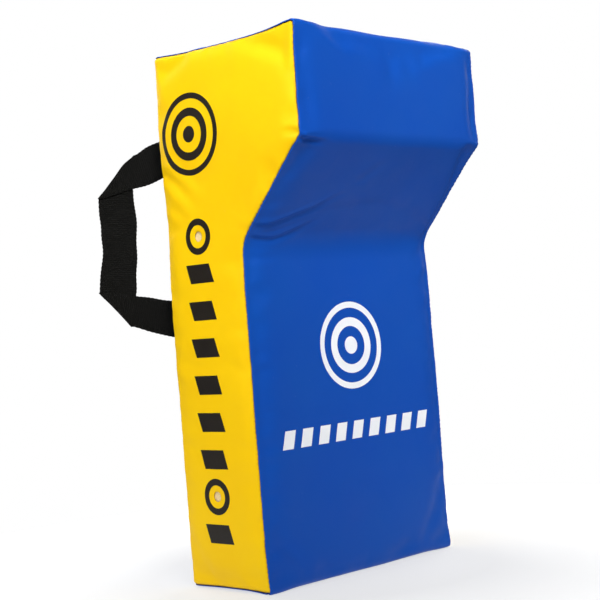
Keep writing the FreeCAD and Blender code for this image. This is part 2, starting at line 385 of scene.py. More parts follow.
def foam_material():
    """Cream open-cell foam."""
    nodes = Nodes("foam_cream")
    cells = nodes.add("ShaderNodeTexVoronoi", {"Scale": 900.0, "Vector": nodes.place}).outputs["Distance"]
    base = nodes.mix(nodes.span(cells, 0.0, 0.7, 0.0, 1.0), srgb(226, 196, 140), srgb(250, 226, 172))
    base = nodes.mix(nodes.span(nodes.noise(40.0), 0.35, 0.65, 0.0, 0.4), base, srgb(236, 204, 146))
    return nodes.finish(Base_Color=base, Roughness=0.95, Normal=nodes.bump(cells, 0.6, 0.6 * MM))


def webbing_material(name, colour, painted_highlight, pitch):
    """Polypropylene webbing: crossways ribs made of short lengthways floats of yarn, with a painted highlight
    on the rib tops and the fuzz.
    """
    nodes = Nodes(name)

    def ridges(attribute, spacing):
        turns = nodes.math("MULTIPLY", nodes.attribute(attribute), math.pi / spacing)
        return nodes.math("ABSOLUTE", nodes.math("SINE", turns))

    rib = nodes.math("MULTIPLY", ridges("along", pitch), 0.7)
    height = nodes.math("ADD", rib, nodes.math("MULTIPLY", ridges("across", YARN_PITCH), 0.3))
    fuzz = nodes.noise(2600.0, 3.0, 0.7)
    # Painted highlight: the rib tops, and the fuzz below, take the lighter colour.
    tone = nodes.math("MULTIPLY", height, nodes.span(nodes.noise(70.0, 3.0), 0.3, 0.7, 0.5, 1.0))
    base = nodes.mix(tone, colour, painted_highlight)
    base = nodes.mix(nodes.span(fuzz, 0.6, 0.75, 0.0, 0.5), base, painted_highlight)
    hairs = nodes.bump(fuzz, 0.3, 0.2 * MM, nodes.bump(height, 0.55, 0.5 * MM))
    roughness = nodes.span(fuzz, 0.3, 0.7, 0.62, 0.85)
    return nodes.finish(Base_Color=base, Roughness=roughness, Normal=hairs, Specular_IOR_Level=0.09)


def thread_material(name, colour, painted_highlight):
    """Twisted sewing thread, with a painted highlight along each turn of its twist."""
    nodes = Nodes(name)
    inputs = {"Scale": 900.0, "Distortion": 1.5, "Vector": nodes.place}
    twist = nodes.add("ShaderNodeTexWave", inputs, bands_direction="DIAGONAL").outputs["Fac"]
    # Painted highlight: the twist bands take the lighter colour.
    base = nodes.mix(twist, colour, painted_highlight)
    return nodes.finish(Base_Color=base, Roughness=0.5, Normal=nodes.bump(twist, 0.5, 0.2 * MM))


def coil_material():
    """Nylon of the zip's coils."""
    nodes = Nodes("nylon_coil")
    base = nodes.mix(nodes.noise(300.0), srgb(24, 24, 26), srgb(40, 40, 43))
    roughness = nodes.span(nodes.noise(200.0), 0.3, 0.7, 0.28, 0.42)
    drawn = nodes.bump(nodes.noise(1800.0), 0.15, 0.2 * MM)
    return nodes.finish(Base_Color=base, Roughness=roughness, Normal=drawn)


def enamel_material():
    """Black enamel on cast zinc, worn to metal in specks."""
    nodes = Nodes("black_enamel")
    chips = nodes.cloud(700.0, 4.0, 0.7, 0.66, 0.7, 0.0, 1.0)
    base = nodes.mix(chips, srgb(28, 28, 30), srgb(150, 148, 144))
    roughness = nodes.span(nodes.noise(240.0, 3.0), 0.3, 0.7, 0.22, 0.38)
    cast = nodes.bump(nodes.noise(900.0, 3.0), 0.12, 0.3 * MM)
    return nodes.finish(Base_Color=base, Metallic=chips, Roughness=roughness, Normal=cast)


# The last colour of each vinyl is its painted seam shade, the darker colour painted into its seam grooves.
YELLOW = vinyl("vinyl_yellow", srgb(252, 206, 4), srgb(248, 198, 3), srgb(140, 84, 6))
BLUE = vinyl("vinyl_blue", srgb(6, 73, 173), srgb(9, 77, 173), srgb(5, 26, 78))
DEEP_BLUE = vinyl("vinyl_deep_blue", srgb(5, 56, 142), srgb(8, 60, 146), srgb(4, 22, 66))
WHITE_INK = ink("ink_white", srgb(249, 250, 252), srgb(214, 222, 238))
BLACK_INK = ink("ink_black", srgb(24, 19, 15), srgb(44, 34, 18))
FOAM = foam_material()
# The second colour of the webbing, tape and thread is their painted highlight.
WEBBING = webbing_material("webbing_black", srgb(4, 4, 3), srgb(14, 14, 12), STRAP_RIB)
ZIP_TAPE = webbing_material("zip_tape_black", srgb(16, 16, 18), srgb(36, 36, 40), TAPE_RIB)
BLACK_THREAD = thread_material("thread_black", srgb(22, 22, 22), srgb(58, 58, 58))
BLUE_THREAD = thread_material("thread_blue", srgb(14, 40, 104), srgb(40, 84, 168))
COIL = coil_material()
ENAMEL = enamel_material()


# ======== the shield's profile
# corner: (y, z), radius at mid-width and at the side seams, rows round it, and spacing of the rows after it
CORNERS = {
    "base_back": ((BACK_Y, 0.0), 9 * MM, 9 * MM, 7, 6 * MM),
    "base_front": ((FRONT_Y, 0.0), 11 * MM, 7 * MM, 9, 2.6 * MM),
    "hollow": ((FRONT_Y, HOLLOW_Z), 64 * MM, 46 * MM, 18, 2.6 * MM),
    "nose": ((HEAD_Y, NOSE_Z), 30 * MM, 9 * MM, 16, 2.6 * MM),
    "brow": ((HEAD_Y, HEIGHT), 13 * MM, 9 * MM, 11, 4 * MM),
    "back_top": ((BACK_Y, HEIGHT), 9 * MM, 9 * MM, 7, 4.2 * MM),
}
POINTS = {name: np.array(corner[0]) for name, corner in CORNERS.items()}


def turned(vector, angle):
    """Plane vector turned anticlockwise."""
    c, s = math.cos(angle), math.sin(angle)
    return np.array([c * vector[0] - s * vector[1], s * vector[0] + c * vector[1]])


class Corner:
    """One rounded corner of the profile, with its normals and its turn."""

    def __init__(self, index):
        names = list(CORNERS)
        self.name = names[index]
        self.point = POINTS[self.name]
        _, self.middle_radius, self.edge_radius, self.arc_rows, self.spacing = CORNERS[self.name]
        before, after = POINTS[names[index - 1]], POINTS[names[(index + 1) % len(names)]]
        self.arriving, self.leaving = unit(self.point - before), unit(after - self.point)
        self.length = np.linalg.norm(after - self.point)
        self.normal = turned(self.arriving, math.pi / 2)
        self.turn = math.atan2(
            self.arriving[0] * self.leaving[1] - self.arriving[1] * self.leaving[0],
            self.arriving @ self.leaving,
        )
        self.bulge = -1.0 if self.turn > 0 else 1.0

    def radius(self, x):
        """Radius of the rounding at each x."""
        inward = smoothstep(6 * MM, 60 * MM, HALF_WIDTH - np.abs(x))
        return self.edge_radius + (self.middle_radius - self.edge_radius) * inward

    def arc(self, x, share):
        """Points (y, z) on the rounding and their normal, at a share of its turn."""
        radius = self.radius(x)[:, None]
        start = self.point - self.arriving * radius * math.tan(abs(self.turn) / 2)
        centre = start - self.normal * radius * self.bulge
        normal = turned(self.normal, self.turn * share)
        return centre + normal * radius * self.bulge, normal

    def run(self, x, share, after):
        """Points (y, z) on the straight run to the next corner."""
        start = self.arc(x, 1.0)[0]
        end = after.arc(x, 0.0)[0]
        return start + (end - start) * share, turned(self.leaving, math.pi / 2)


PROFILE = [Corner(index) for index in range(len(CORNERS))]


def profile_rows():
    """Rows round the profile as (corner index, is it an arc, share), and where each stretch starts."""
    rows, starts = [], {}
    for index, corner in enumerate(PROFILE):
        starts[corner.name + "_arc"] = len(rows)
        rows += [(index, True, k / corner.arc_rows) for k in range(corner.arc_rows)]
        starts[corner.name + "_run"] = len(rows)
        count = max(2, round(corner.length / corner.spacing))
        rows += [(index, False, k / count) for k in range(count)]
    return rows, starts


ROWS, STARTS = profile_rows()


def profile_points(row, x):
    """Points (y, z) of one row at each x, and their normals."""
    index, is_arc, share = ROWS[row % len(ROWS)]
    corner = PROFILE[index]
    if is_arc:
        points, normal = corner.arc(x, share)
    else:
        points, normal = corner.run(x, share, PROFILE[(index + 1) % len(PROFILE)])
    return points, np.broadcast_to(normal, points.shape)


# ======== how the cloth lies on the foam
class Crease:
    """Drag line in the cloth along a smooth path: a valley with a ridge beside it."""

    RIDGES = ((1.7, 1.0), (-1.9, 0.4))  # widths from the valley to each ridge, and share of its height
    REACH = 5                           # widths round the path in which the crease is felt

    def __init__(self, path, depth, width, ridge=0.6, fade=0.35):
        self.path = self.resample(np.array(path) * MM)
        tangents = np.gradient(self.path, axis=0)
        self.tangents = tangents / np.linalg.norm(tangents, axis=1)[:, None]
        self.depth, self.width, self.ridge, self.fade = depth * MM, width * MM, ridge, fade

    @staticmethod
    def resample(path, count=60):
        """Smooth path through a few points."""
        steps = np.linspace(0, len(path) - 1, count)
        index = np.minimum(steps.astype(int), len(path) - 2)
        t = (steps - index)[:, None]
        before = path[np.maximum(index - 1, 0)]
        start, end = path[index], path[index + 1]
        after = path[np.minimum(index + 2, len(path) - 1)]
        return 0.5 * (
            2 * start + (end - before) * t + (2 * before - 5 * start + 4 * end - after) * t ** 2
            + (3 * start - before - 3 * end + after) * t ** 3
        )

    def offset(self, points, normals):
        """Height along the normal at each point."""
        reach = self.width * self.REACH
        low, high = self.path.min(0) - reach, self.path.max(0) + reach
        near = np.all((points > low) & (points < high), axis=-1)
        result = np.zeros(points.shape[:-1])
        if not near.any():
            return result
        picked, facing = points[near], normals[near]
        gaps = picked[:, None, :] - self.path[None, :, :]
        closest = (gaps ** 2).sum(-1).argmin(1)
        gap = gaps[np.arange(len(picked)), closest]
        beside = np.cross(facing, self.tangents[closest])
        signed = (gap * beside).sum(-1) / self.width
        along = np.abs((gap * self.tangents[closest]).sum(-1)) / self.width
        share = closest / (len(self.path) - 1)
        strength = smoothstep(0, 0.1, share) * (1 - smoothstep(1 - self.fade * 1.6, 1, share))
        valley = -np.exp(-signed ** 2)
        ridge = self.ridge * sum(part * np.exp(-(signed - at) ** 2) for at, part in self.RIDGES)
        result[near] = self.depth * strength * (valley + ridge) * np.exp(-along ** 2)
        return result


HALF_MM, BACK_MM, FRONT_MM, HEAD_MM = HALF_WIDTH / MM, BACK_Y / MM, FRONT_Y / MM, HEAD_Y / MM
HOLLOW_MM, NOSE_MM = HOLLOW_Z / MM, NOSE_Z / MM


def slope_crease(side, path, *look):
    """Crease on the head's underside, through (inset from the side, share from hollow to nose)."""
    start, end = np.array([FRONT_MM, HOLLOW_MM]), np.array([HEAD_MM, NOSE_MM])
    points = [(side * (HALF_MM - inset), *(start + (end - start) * share)) for inset, share in path]
    return Crease(points, *look)


def front_crease(side, path, *look):
    """Crease on the striking face, through (inset from the side, distance out, drop below the hollow)."""
    points = [(side * (HALF_MM - inset), FRONT_MM - out, HOLLOW_MM - drop) for inset, out, drop in path]
    return Crease(points, *look)


def side_crease(path, *look):
    """Crease on a side, through (inset from the back, height)."""
    return Crease([(0, BACK_MM - inset, z) for inset, z in path], *look)


# path, depth, width, ridge and fade of each drag line of the strip
BAND_CREASES = [
    slope_crease(LEFT, [(1, 0.14), (38, 0.20), (74, 0.28), (97, 0.35), (119, 0.45), (146, 0.53)],
                 2.0, 4.2, 0.8, 0.3),
    slope_crease(LEFT, [(3, 0.05), (40, 0.04), (72, 0.10), (100, 0.19), (124, 0.29)], 2.0, 4.0, 0.8, 0.3),
    slope_crease(LEFT, [(150, 0.60), (168, 0.71), (190, 0.85)], 0.8, 7.0, 0.5, 0.4),
    front_crease(LEFT, [(4, 0, 18), (34, 0, 20), (66, 0, 12)], 0.9, 5.0),
    slope_crease(LEFT, [(1, 0.97), (16, 0.94), (34, 0.94), (48, 0.97)], 2.6, 3.4, 0.7, 0.3),
    slope_crease(RIGHT, [(8, 0.06), (10, 0.22), (22, 0.40)], 1.8, 6.0, 0.8, 0.3),
    front_crease(RIGHT, [(4, 0, 8), (26, 2, 22), (44, 0, 58)], 1.0, 7.0),
    slope_crease(RIGHT, [(3, 0.93), (20, 0.88), (38, 0.86)], 0.6, 6.0, 0.6, 0.3),
]
SIDE_CREASES = [
    side_crease([(6, 585), (40, 560), (84, 520)], 1.3, 8.0),
    side_crease([(30, 610), (66, 575), (104, 548)], 1.0, 9.0),
    side_crease([(4, 540), (34, 526), (60, 500)], 0.9, 8.0),
    Crease([(0, HEAD_MM + 3, NOSE_MM + 1), (0, HEAD_MM + 16, NOSE_MM + 5), (0, HEAD_MM + 36, NOSE_MM + 3)],
           2.2, 4.5, 0.5, 0.3),
    side_crease([(3, 420), (30, 408), (62, 384)], 0.7, 10.0, 0.5),
]


def near_corner(points, name, reach):
    """1 at a corner of the profile, falling away over a reach."""
    gap = np.linalg.norm(points[..., 1:] - POINTS[name], axis=-1)
    return np.exp(-(gap / reach) ** 2)


def pucker(distance_along, points, strength):
    """Small gathers beside a seam, uneven in size."""
    phase = uneven(points, PATCHY) * 1.7
    wave = np.sin(distance_along * math.tau / PUCKER_LENGTH + phase)
    wave += 0.5 * np.sin(distance_along * math.tau / (PUCKER_LENGTH * 0.61) + 2.1 * phase)
    return strength * wave * (0.65 + 0.35 * uneven(points + 0.05, PATCHY))


TOP_DIP = 4.6 * MM             # drop at the side seams where the head block meets the slab
TOP_DIP_MIDDLE = 2.8 * MM      # and at mid-width
TOP_DIP_RUN = 130 * MM         # distance over which the one turns into the other
JOIN_SHIFT = 12 * MM           # the dip lies this far in front of the join


def top_dip(points):
    """Drop of the top where the head block meets the slab."""
    y = points[..., 1]
    behind = np.clip((BACK_Y - y) / (BACK_Y - FRONT_Y + JOIN_SHIFT), 0, 1)
    ahead = np.clip((y - HEAD_Y) / (FRONT_Y - JOIN_SHIFT - HEAD_Y), 0, 1)
    valley = np.minimum(behind, ahead)
    valley = valley - 0.12 * np.exp(-((1 - valley) / 0.1) ** 2)
    inwards = smoothstep(0, TOP_DIP_RUN, HALF_WIDTH - np.abs(points[..., 0]))
    on_top = smoothstep(HEIGHT - 12 * MM, HEIGHT - 3 * MM, points[..., 2])
    return -(TOP_DIP + (TOP_DIP_MIDDLE - TOP_DIP) * inwards) * valley * on_top


# corners that stand up at the side seams: height and reach
EARS = {
    "brow": (1.2 * MM, 26 * MM), "nose": (1.0 * MM, 20 * MM),
    "base_front": (1.6 * MM, 24 * MM), "back_top": (1.2 * MM, 24 * MM),
}
EAR_WIDTH = 34 * MM            # how far they reach in from the seam
CONVEX_CORNERS = ("base_front", "brow", "back_top", "base_back")
CONVEX_REACH = 42 * MM         # the seams are drawn in less this near to them
SLACK_REACH = 110 * MM
SLACK_WIDTH = 16 * MM
BROAD_HEIGHT = 0.42 * MM       # wide, shallow unevenness of the strip
PUCKER_REACH = 7.5 * MM


def band_height(points, normals, along):
    """How far the strip's cloth stands out from the plain profile."""
    x = points[..., 0]
    inset = HALF_WIDTH - np.abs(x)
    convex = sum(near_corner(points, name, CONVEX_REACH) for name in CONVEX_CORNERS)
    ears = sum(height * near_corner(points, name, reach) for name, (height, reach) in EARS.items())
    pull = PULL_DEPTH * np.exp(-(inset / PULL_REACH) ** 1.6) * (1 - 0.8 * np.clip(convex, 0, 1))
    pull *= 1 - smoothstep(BACK_Y - 6 * MM, BACK_Y - 1 * MM, points[..., 1])
    slack_side = smoothstep(0, HALF_WIDTH, x) * near_corner(points, "hollow", SLACK_REACH)
    pull += SLACK_DEPTH * slack_side * np.exp(-(inset / SLACK_WIDTH) ** 2)
    height = ears * np.exp(-(inset / EAR_WIDTH) ** 2) - CROWN * (x / HALF_WIDTH) ** 4 - pull
    height += BROAD_HEIGHT * uneven(points, BROAD) * smoothstep(0, 40 * MM, inset)
    facing_front = smoothstep(0.1, -0.4, normals[..., 1])
    height += pucker(along, points, PUCKER_HEIGHT) * np.exp(-inset / PUCKER_REACH) * facing_front
    height += sum(crease.offset(points, normals) for crease in BAND_CREASES)
    height += top_dip(points)
    return height * calm_behind(points)


BACK_CALM = 0.55               # share of the relief that is lost on the back
PATCH_CALM_REACH = 24 * MM     # all of it is lost under a patch, and less up to this far from one


def calm_behind(points):
    """Relief left on the back: less everywhere, and none under the patches."""
    behind = smoothstep(BACK_Y - 4 * MM, BACK_Y - 1 * MM, points[..., 1])
    x, z = np.abs(points[..., 0]), points[..., 2]
    out_x = np.maximum(np.maximum(patch_low.x - x, x - patch_high.x), 0)
    out_z = np.maximum(np.maximum(patch_low.z - z, z - patch_high.z), 0)
    patch = 1 - smoothstep(1 * MM, PATCH_CALM_REACH, np.hypot(out_x, out_z))
    return 1 - behind * np.maximum(BACK_CALM, patch)


def edge_columns():
    """Columns from inside the side seam to the start of the flat, as (inset from the side, drop)."""
    tucked = ((1.7 * MM, GROOVE), (0.7 * MM, 0.9 * MM), (0.15 * MM, 0.35 * MM))
    columns = [(inset, EDGE_ROLL + below) for inset, below in tucked]
    for step in range(7):
        angle = math.pi / 2 * (1 - step / 6)
        columns.append((EDGE_ROLL * (1 - math.sin(angle)), EDGE_ROLL * (1 - math.cos(angle))))
    return columns


FIRST_COLUMN = 2.2 * MM        # spacing of the strip's columns next to the seam
WIDEST_COLUMN = 7.5 * MM
COLUMN_GROWTH = 1.25


def inner_insets():
    """Insets from the roll to the middle of the strip, closer near the seam."""
    insets, inset, step = [], EDGE_ROLL, FIRST_COLUMN
    while inset < HALF_WIDTH - 5 * MM:
        inset += step
        step = min(step * COLUMN_GROWTH, WIDEST_COLUMN)
        insets.append(min(inset, HALF_WIDTH))
    return insets


def band_columns():
    """x and drop of every column from the left seam to the right seam."""
    left = edge_columns() + [(inset, 0.0) for inset in inner_insets()]
    xs = [inset - HALF_WIDTH for inset, _ in left]
    drops = [drop for _, drop in left]
    if xs[-1] > -1e-6:
        xs, drops = xs[:-1], drops[:-1]
    return np.array(xs + [0.0] + [-x for x in reversed(xs)]), np.array(drops + [0.0] + drops[::-1])


COLUMN_X, COLUMN_DROP = band_columns()


def row_lengths():
    """Distance along the profile at the seam, at each row."""
    at_seam = np.array([-HALF_WIDTH])
    path = np.array([profile_points(row, at_seam)[0][0] for row in range(len(ROWS))])
    steps = np.linalg.norm(np.diff(path, axis=0), axis=1)
    return np.concatenate([[0], np.cumsum(steps)])


ALONG = row_lengths()


def wrap_share(points, depth):
    """How far the sides turn round the edge at (y, z): fully at the back, less along the top and base."""
    y, z = points[..., 0], points[..., 1]
    back = smoothstep(BACK_Y - depth - 7 * MM, BACK_Y - depth, y)
    top = TOP_WRAP * smoothstep(HEIGHT - depth - 7 * MM, HEIGHT - depth, z) * smoothstep(HEAD_Y, FRONT_Y, y)
    base = BASE_WRAP * smoothstep(depth + 7 * MM, depth, z) * smoothstep(FRONT_Y, FRONT_Y + 60 * MM, y)
    return np.maximum(back, np.maximum(top, base))


def band_surface(row_range, columns_x, columns_drop):
    """Cloth points of the strip for some rows before the cover's pulls, as an array (rows, columns, 3)."""
    base, normals, along, wraps = [], [], [], []
    for i, row in enumerate(row_range):
        x = columns_x[i] if columns_x.ndim == 2 else columns_x
        points, facing = profile_points(row, x)
        wrap = wrap_share(points, 1 * MM)
        near_edge = 1 - smoothstep(EDGE_ROLL, 30 * MM, HALF_WIDTH - np.abs(x))
        base.append(np.column_stack([x - np.sign(x) * BACK_WRAP * wrap * near_edge, points]))
        normals.append(np.column_stack([np.zeros(len(x)), facing]))
        along.append(np.full(len(x), ALONG[row % len(ROWS)]))
        wraps.append(wrap)
    base, normals, along = np.array(base), np.array(normals), np.array(along)
    height = band_height(base, normals, along) - columns_drop * (1 - 0.7 * np.array(wraps))
    return base + normals * height[..., None] + swell_at(base)


# ======== cloth simulation of the stuffed cover
SIM_VOXEL = 8 * MM
SIM_CAP = 4.5 * MM
SIM_GROUND = 6 * MM
SIM_FRAMES = 20
CLOTH_SETTINGS = {
    "quality": 6, "mass": 0.35, "tension_stiffness": 22, "compression_stiffness": 22, "shear_stiffness": 8,
    "bending_stiffness": 0.8, "vertex_group_mass": "held", "shrink_min": -0.035, "use_pressure": True,
    "uniform_pressure_force": 4,
}


class Swell:
    """Shift of the cloth found by blowing up a coarse cover, read smoothly at any point."""

    def __init__(self, before, shift, reach):
        self.shift, self.reach = shift, reach
        self.tree = KDTree(len(before))
        for i, point in enumerate(before):
            self.tree.insert(point, i)
        self.tree.balance()

    def at(self, points, neighbours=10):
        """Shift at each point, averaged over the coarse vertices round it."""
        flat = points.reshape(-1, 3)
        index = np.empty((len(flat), neighbours), int)
        gap = np.empty((len(flat), neighbours))
        for i, point in enumerate(flat):
            found = self.tree.find_n(point, neighbours)
            index[i] = [item[1] for item in found]
            gap[i] = [item[2] for item in found]
        weight = np.exp(-(gap / self.reach) ** 2) + 1e-9
        weight /= weight.sum(1)[:, None]
        return (self.shift[index] * weight[..., None]).sum(1).reshape(points.shape)


def coarse_cover():
    """Plain closed cover: the profile stretched across the width, with flat sides."""
    rows = [row for row in range(len(ROWS)) if ROWS[row][1] or row % 3 == 0]
    columns = np.linspace(-HALF_WIDTH + 2 * MM, HALF_WIDTH - 2 * MM, 33)
    points = []
    for row in rows:
        profile, normal = profile_points(row, columns)
        points.append(np.column_stack([columns, profile - normal * 1 * MM]))
    points = np.vstack(points)
    width, count = len(columns), len(rows)
    faces = []
    for row in range(count):
        below = (row + 1) % count
        for column in range(width - 1):
            a, b = row * width + column, below * width + column
            faces.append((a, a + 1, b + 1, b))
    faces.append(tuple(row * width for row in range(count)))
    faces.append(tuple(row * width + width - 1 for row in reversed(range(count))))
    return points, faces


def remeshed_cover():
    """Coarse cover as an object with an even mesh."""
    points, faces = coarse_cover()
    mesh = bpy.data.meshes.new("trial")
    mesh.from_pydata([tuple(p) for p in points], [], faces)
    mesh.update()
    trial = bpy.data.objects.new("trial", mesh)
    bpy.context.scene.collection.objects.link(trial)
    remesh = trial.modifiers.new("remesh", "REMESH")
    remesh.mode, remesh.voxel_size = "VOXEL", SIM_VOXEL
    graph = bpy.context.evaluated_depsgraph_get()
    fine = bpy.data.meshes.new_from_object(trial.evaluated_get(graph))
    trial.modifiers.clear()
    trial.data = fine
    return trial


def hold_seams(trial, points):
    """Pin the cover at its side seams and on the ground."""
    ring = np.array([profile_points(row, np.array([HALF_WIDTH]))[0][0] for row in range(len(ROWS))])
    to_edge = distance_to_ring(points[:, 1:], ring)
    to_seam = np.hypot(to_edge, np.abs(HALF_WIDTH - np.abs(points[:, 0])))
    held = np.clip(1.2 - to_seam / (1.6 * SIM_VOXEL), 0, 1)
    held = np.maximum(held, points[:, 2] < SIM_GROUND)
    group = trial.vertex_groups.new(name="held")
    for i, weight in enumerate(held):
        if weight > 0.02:
            group.add([i], float(weight), "REPLACE")


def run_cloth(trial):
    """Vertex positions after the cover has been blown up for some frames."""
    cloth = trial.modifiers.new("cloth", "CLOTH")
    for key, value in CLOTH_SETTINGS.items():
        setattr(cloth.settings, key, value)
    cloth.settings.effector_weights.gravity = 0
    cloth.point_cache.frame_start, cloth.point_cache.frame_end = 1, SIM_FRAMES
    scene = bpy.context.scene
    scene.frame_start, scene.frame_end = 1, SIM_FRAMES
    for step in range(1, SIM_FRAMES + 1):
        scene.frame_set(step)
    graph = bpy.context.evaluated_depsgraph_get()
    return vertex_array(trial.evaluated_get(graph).data)


def blow_up():
    """Fill the coarse cover with pressure, held at its seams, and measure how it moves."""
    trial = remeshed_cover()
    before = vertex_array(trial.data)
    hold_seams(trial, before)
    shift = run_cloth(trial) - before
    bpy.data.objects.remove(trial)
    bpy.context.scene.frame_set(1)
    length = np.linalg.norm(shift, axis=1)
    capped = SIM_CAP * np.tanh(length / SIM_CAP)
    return Swell(before, shift * (capped / np.maximum(length, 1e-9))[:, None], 0.95 * SIM_VOXEL)


def vertex_array(mesh):
    """Vertex positions of a mesh."""
    values = np.empty(len(mesh.vertices) * 3)
    mesh.vertices.foreach_get("co", values)
    return values.reshape(-1, 3)


def swell_at(points):
    """Shift of the cloth at points of the plain cover, smaller on the back."""
    if SWELL is None:
        return np.zeros_like(points)
    return SWELL.at(points) * calm_behind(points)[..., None]


# pulls on the whole cover where the real one sits off its plain shape:
# centre and shift in millimetres, and how far each is felt
COVER_PULLS = [
    ((190, -200, 750), (-4.0, 2.0, -8.0), 52),
    ((190, -80, 0), (5.6, -1.4, 0.0), 230),
    ((190, -80, 260), (5.4, -1.2, 0.0), 130),
    ((190, -80, 420), (4.6, -1.0, 0.0), 80),
    ((190, -200, 630), (-2.6, 1.4, 0.0), 100),
    ((-190, 80, 375), (-0.6, 2.6, 0.0), 420),
    ((-190, 80, 640), (0.0, 3.0, 0.0), 60),
    ((-190, 80, 505), (0.0, -3.2, 0.0), 50),
]


def shape_cover(points):
    """Move points of the cover by the pulls; the base stays on the ground."""
    shift = np.zeros_like(points)
    for centre, pull, reach in COVER_PULLS:
        gap = np.linalg.norm(points - np.array(centre) * MM, axis=-1)
        shift += np.exp(-(gap / (reach * MM)) ** 2)[..., None] * np.array(pull) * MM
    return points + shift * calm_behind(points)[..., None]


def main_cover():
    """All panels of the cover."""
    add_band("front_cover", range(STARTS["base_front_arc"], STARTS["back_top_run"] + 1), "front_panel")
    add_band("base_cover", range(STARTS["base_back_arc"], STARTS["base_front_arc"] + 1), "bottom_panel")
    add_back(range(STARTS["back_top_run"], len(ROWS) + 1))
    for sign, name in SIDES:
        add_side(sign, name)


def seam_weight(inset):
    """Weight of the painted shade beside a seam: 1 in the stitch line, almost gone after four millimetres."""
    return np.exp(-np.maximum(inset, 0) / (0.9 * MM))


def end_groove(first_gap, last_gap):
    """Depth to which a panel turns down into its end seams, at distances from its two ends."""
    return END_GROOVE * (np.exp(-first_gap / END_GROOVE_REACH) + np.exp(-last_gap / END_GROOVE_REACH))


def add_band(name, rows, node):
    """One panel of the strip, as a closed shell."""
    points = shape_cover(band_surface(rows, COLUMN_X, COLUMN_DROP))
    steps = np.linalg.norm(np.diff(points[:, len(COLUMN_X) // 2], axis=0), axis=1)
    lengths = np.concatenate([[0], np.cumsum(steps)])
    depth = end_groove(lengths, lengths[-1] - lengths)
    for i, row in enumerate(rows):
        points[i, :, 1:] -= profile_points(row, np.array([0.0]))[1][0] * depth[i]
    rolled = np.broadcast_to(COLUMN_DROP, points.shape[:2])
    # Weight of the painted shade: in the groove past the rolled edge, and in the end seams.
    seam = smoothstep(0.55 * EDGE_ROLL, EDGE_ROLL + 0.8 * MM, rolled)
    seam = np.maximum(seam, depth[:, None] / END_GROOVE).ravel()
    add_panel(name, points.reshape(-1, 3), grid_faces(*points.shape[:2]), seam, BLUE, "vinyl_blue", node)


def slot_edge(z):
    """Half the opening between the two back panels at each height."""
    low, high = zip_low.z, zip_high.z
    inside = smoothstep(low - 3 * MM, low + 3 * MM, z) * (1 - smoothstep(high - 3 * MM, high + 3 * MM, z))
    return SEAM_GAP + (SLOT_HALF - SEAM_GAP) * inside


def back_columns(rows):
    """Distance from the middle and drop of each column of one half of the back, row by row."""
    share = np.concatenate([[0.0, 0.004, 0.010, 0.02, 0.04, 0.07], np.linspace(0.11, 1, 26)])
    edge = edge_columns()
    edge_x = [HALF_WIDTH - inset for inset, _ in edge]
    hem = 0.9 * MM
    xs, drops = [], []
    for row in rows:
        inner = slot_edge(profile_points(row, np.array([0.0]))[0][0, 1])
        flat_x = edge_x[-1] + (inner - edge_x[-1]) * (1 - share[::-1])
        tuck = hem * np.exp(-(flat_x - inner) / hem)
        xs.append(np.concatenate([edge_x, flat_x[1:]]))
        drops.append(np.concatenate([[drop for _, drop in edge], tuck[1:]]))
    return np.array(xs), np.array(drops)


def add_back(rows):
    """Left and right halves of the back, with the zip's opening between them."""
    xs, drops = back_columns(rows)
    faces = grid_faces(*xs.shape)
    # Weight of the painted shade in the groove past the rolled edge.
    seam = smoothstep(EDGE_ROLL - 0.2 * MM, EDGE_ROLL + 0.7 * MM, drops).ravel()
    for sign, name in SIDES:
        plain = band_surface(rows, sign * xs, drops)
        points = shape_cover(plain)
        near_middle = 1 - smoothstep(SLOT_HALF, 60 * MM, np.abs(plain[..., 0]))
        points[..., 0] += (plain[..., 0] - points[..., 0]) * near_middle
        z = points[..., 2]
        points[..., 1] -= end_groove(z.max() - z, z - z.min())
        outward = turned_over(faces) if sign > 0 else faces
        add_panel("back_cover_" + name, points.reshape(-1, 3), outward, seam,
                  BLUE, "vinyl_blue", "back_panel_" + name)


# ======== side panels
SIDE_CROWN_REACH = 38 * MM
SIDE_BROAD_HEIGHT = 0.55 * MM
SIDE_FINE_HEIGHT = 0.30 * MM   # small gathers beside the seam
SIDE_FINE_REACH = 9 * MM
VENT_DIMPLE_REACH = 2.2 * MM


def side_height(points, ring):
    """How far a side panel's cloth stands out from the flat side, at each (y, z)."""
    gap = distance_to_ring(points, ring)
    flat = np.column_stack([np.zeros(len(points)), points])
    facing = np.tile([1.0, 0.0, 0.0], (len(points), 1))
    height = -GROOVE * np.exp(-(gap / (2.0 * MM)) ** 1.5)
    turn = 1 - np.clip(gap / WRAP_RADIUS, 0, 1)
    height -= BACK_WRAP * wrap_share(points, 4 * MM) * (1 - np.sqrt(1 - turn ** 2))
    height += SIDE_CROWN * (1 - np.exp(-gap / SIDE_CROWN_REACH))
    height += SIDE_BROAD_HEIGHT * uneven(flat, BROAD) * smoothstep(0, 30 * MM, gap)
    near_seam = np.exp(-gap / SIDE_FINE_REACH) * smoothstep(0, 2 * MM, gap)
    height += SIDE_FINE_HEIGHT * uneven(flat * 1.3 + 0.4, FINE) * near_seam
    height += sum(crease.offset(flat, facing) for crease in SIDE_CREASES)
    for y, z in VENTS:
        radius = np.hypot(points[:, 0] - y, points[:, 1] - z)
        height -= VENT_DIMPLE * np.exp(-((radius - VENT_RADIUS) / VENT_DIMPLE_REACH).clip(0) ** 1.2)
    return height


def side_cloth(flat, sign):
    """Cloth of a side panel at each (y, z)."""
    plain = np.column_stack([np.full(len(flat), sign * (HALF_WIDTH - 2 * MM)), flat])
    height = side_height(flat, RINGS[sign])
    cloth = np.column_stack([sign * (HALF_WIDTH - 0.3 * MM + height), flat])
    return shape_cover(cloth + swell_at(plain) * [1.0, 0.0, 0.0])


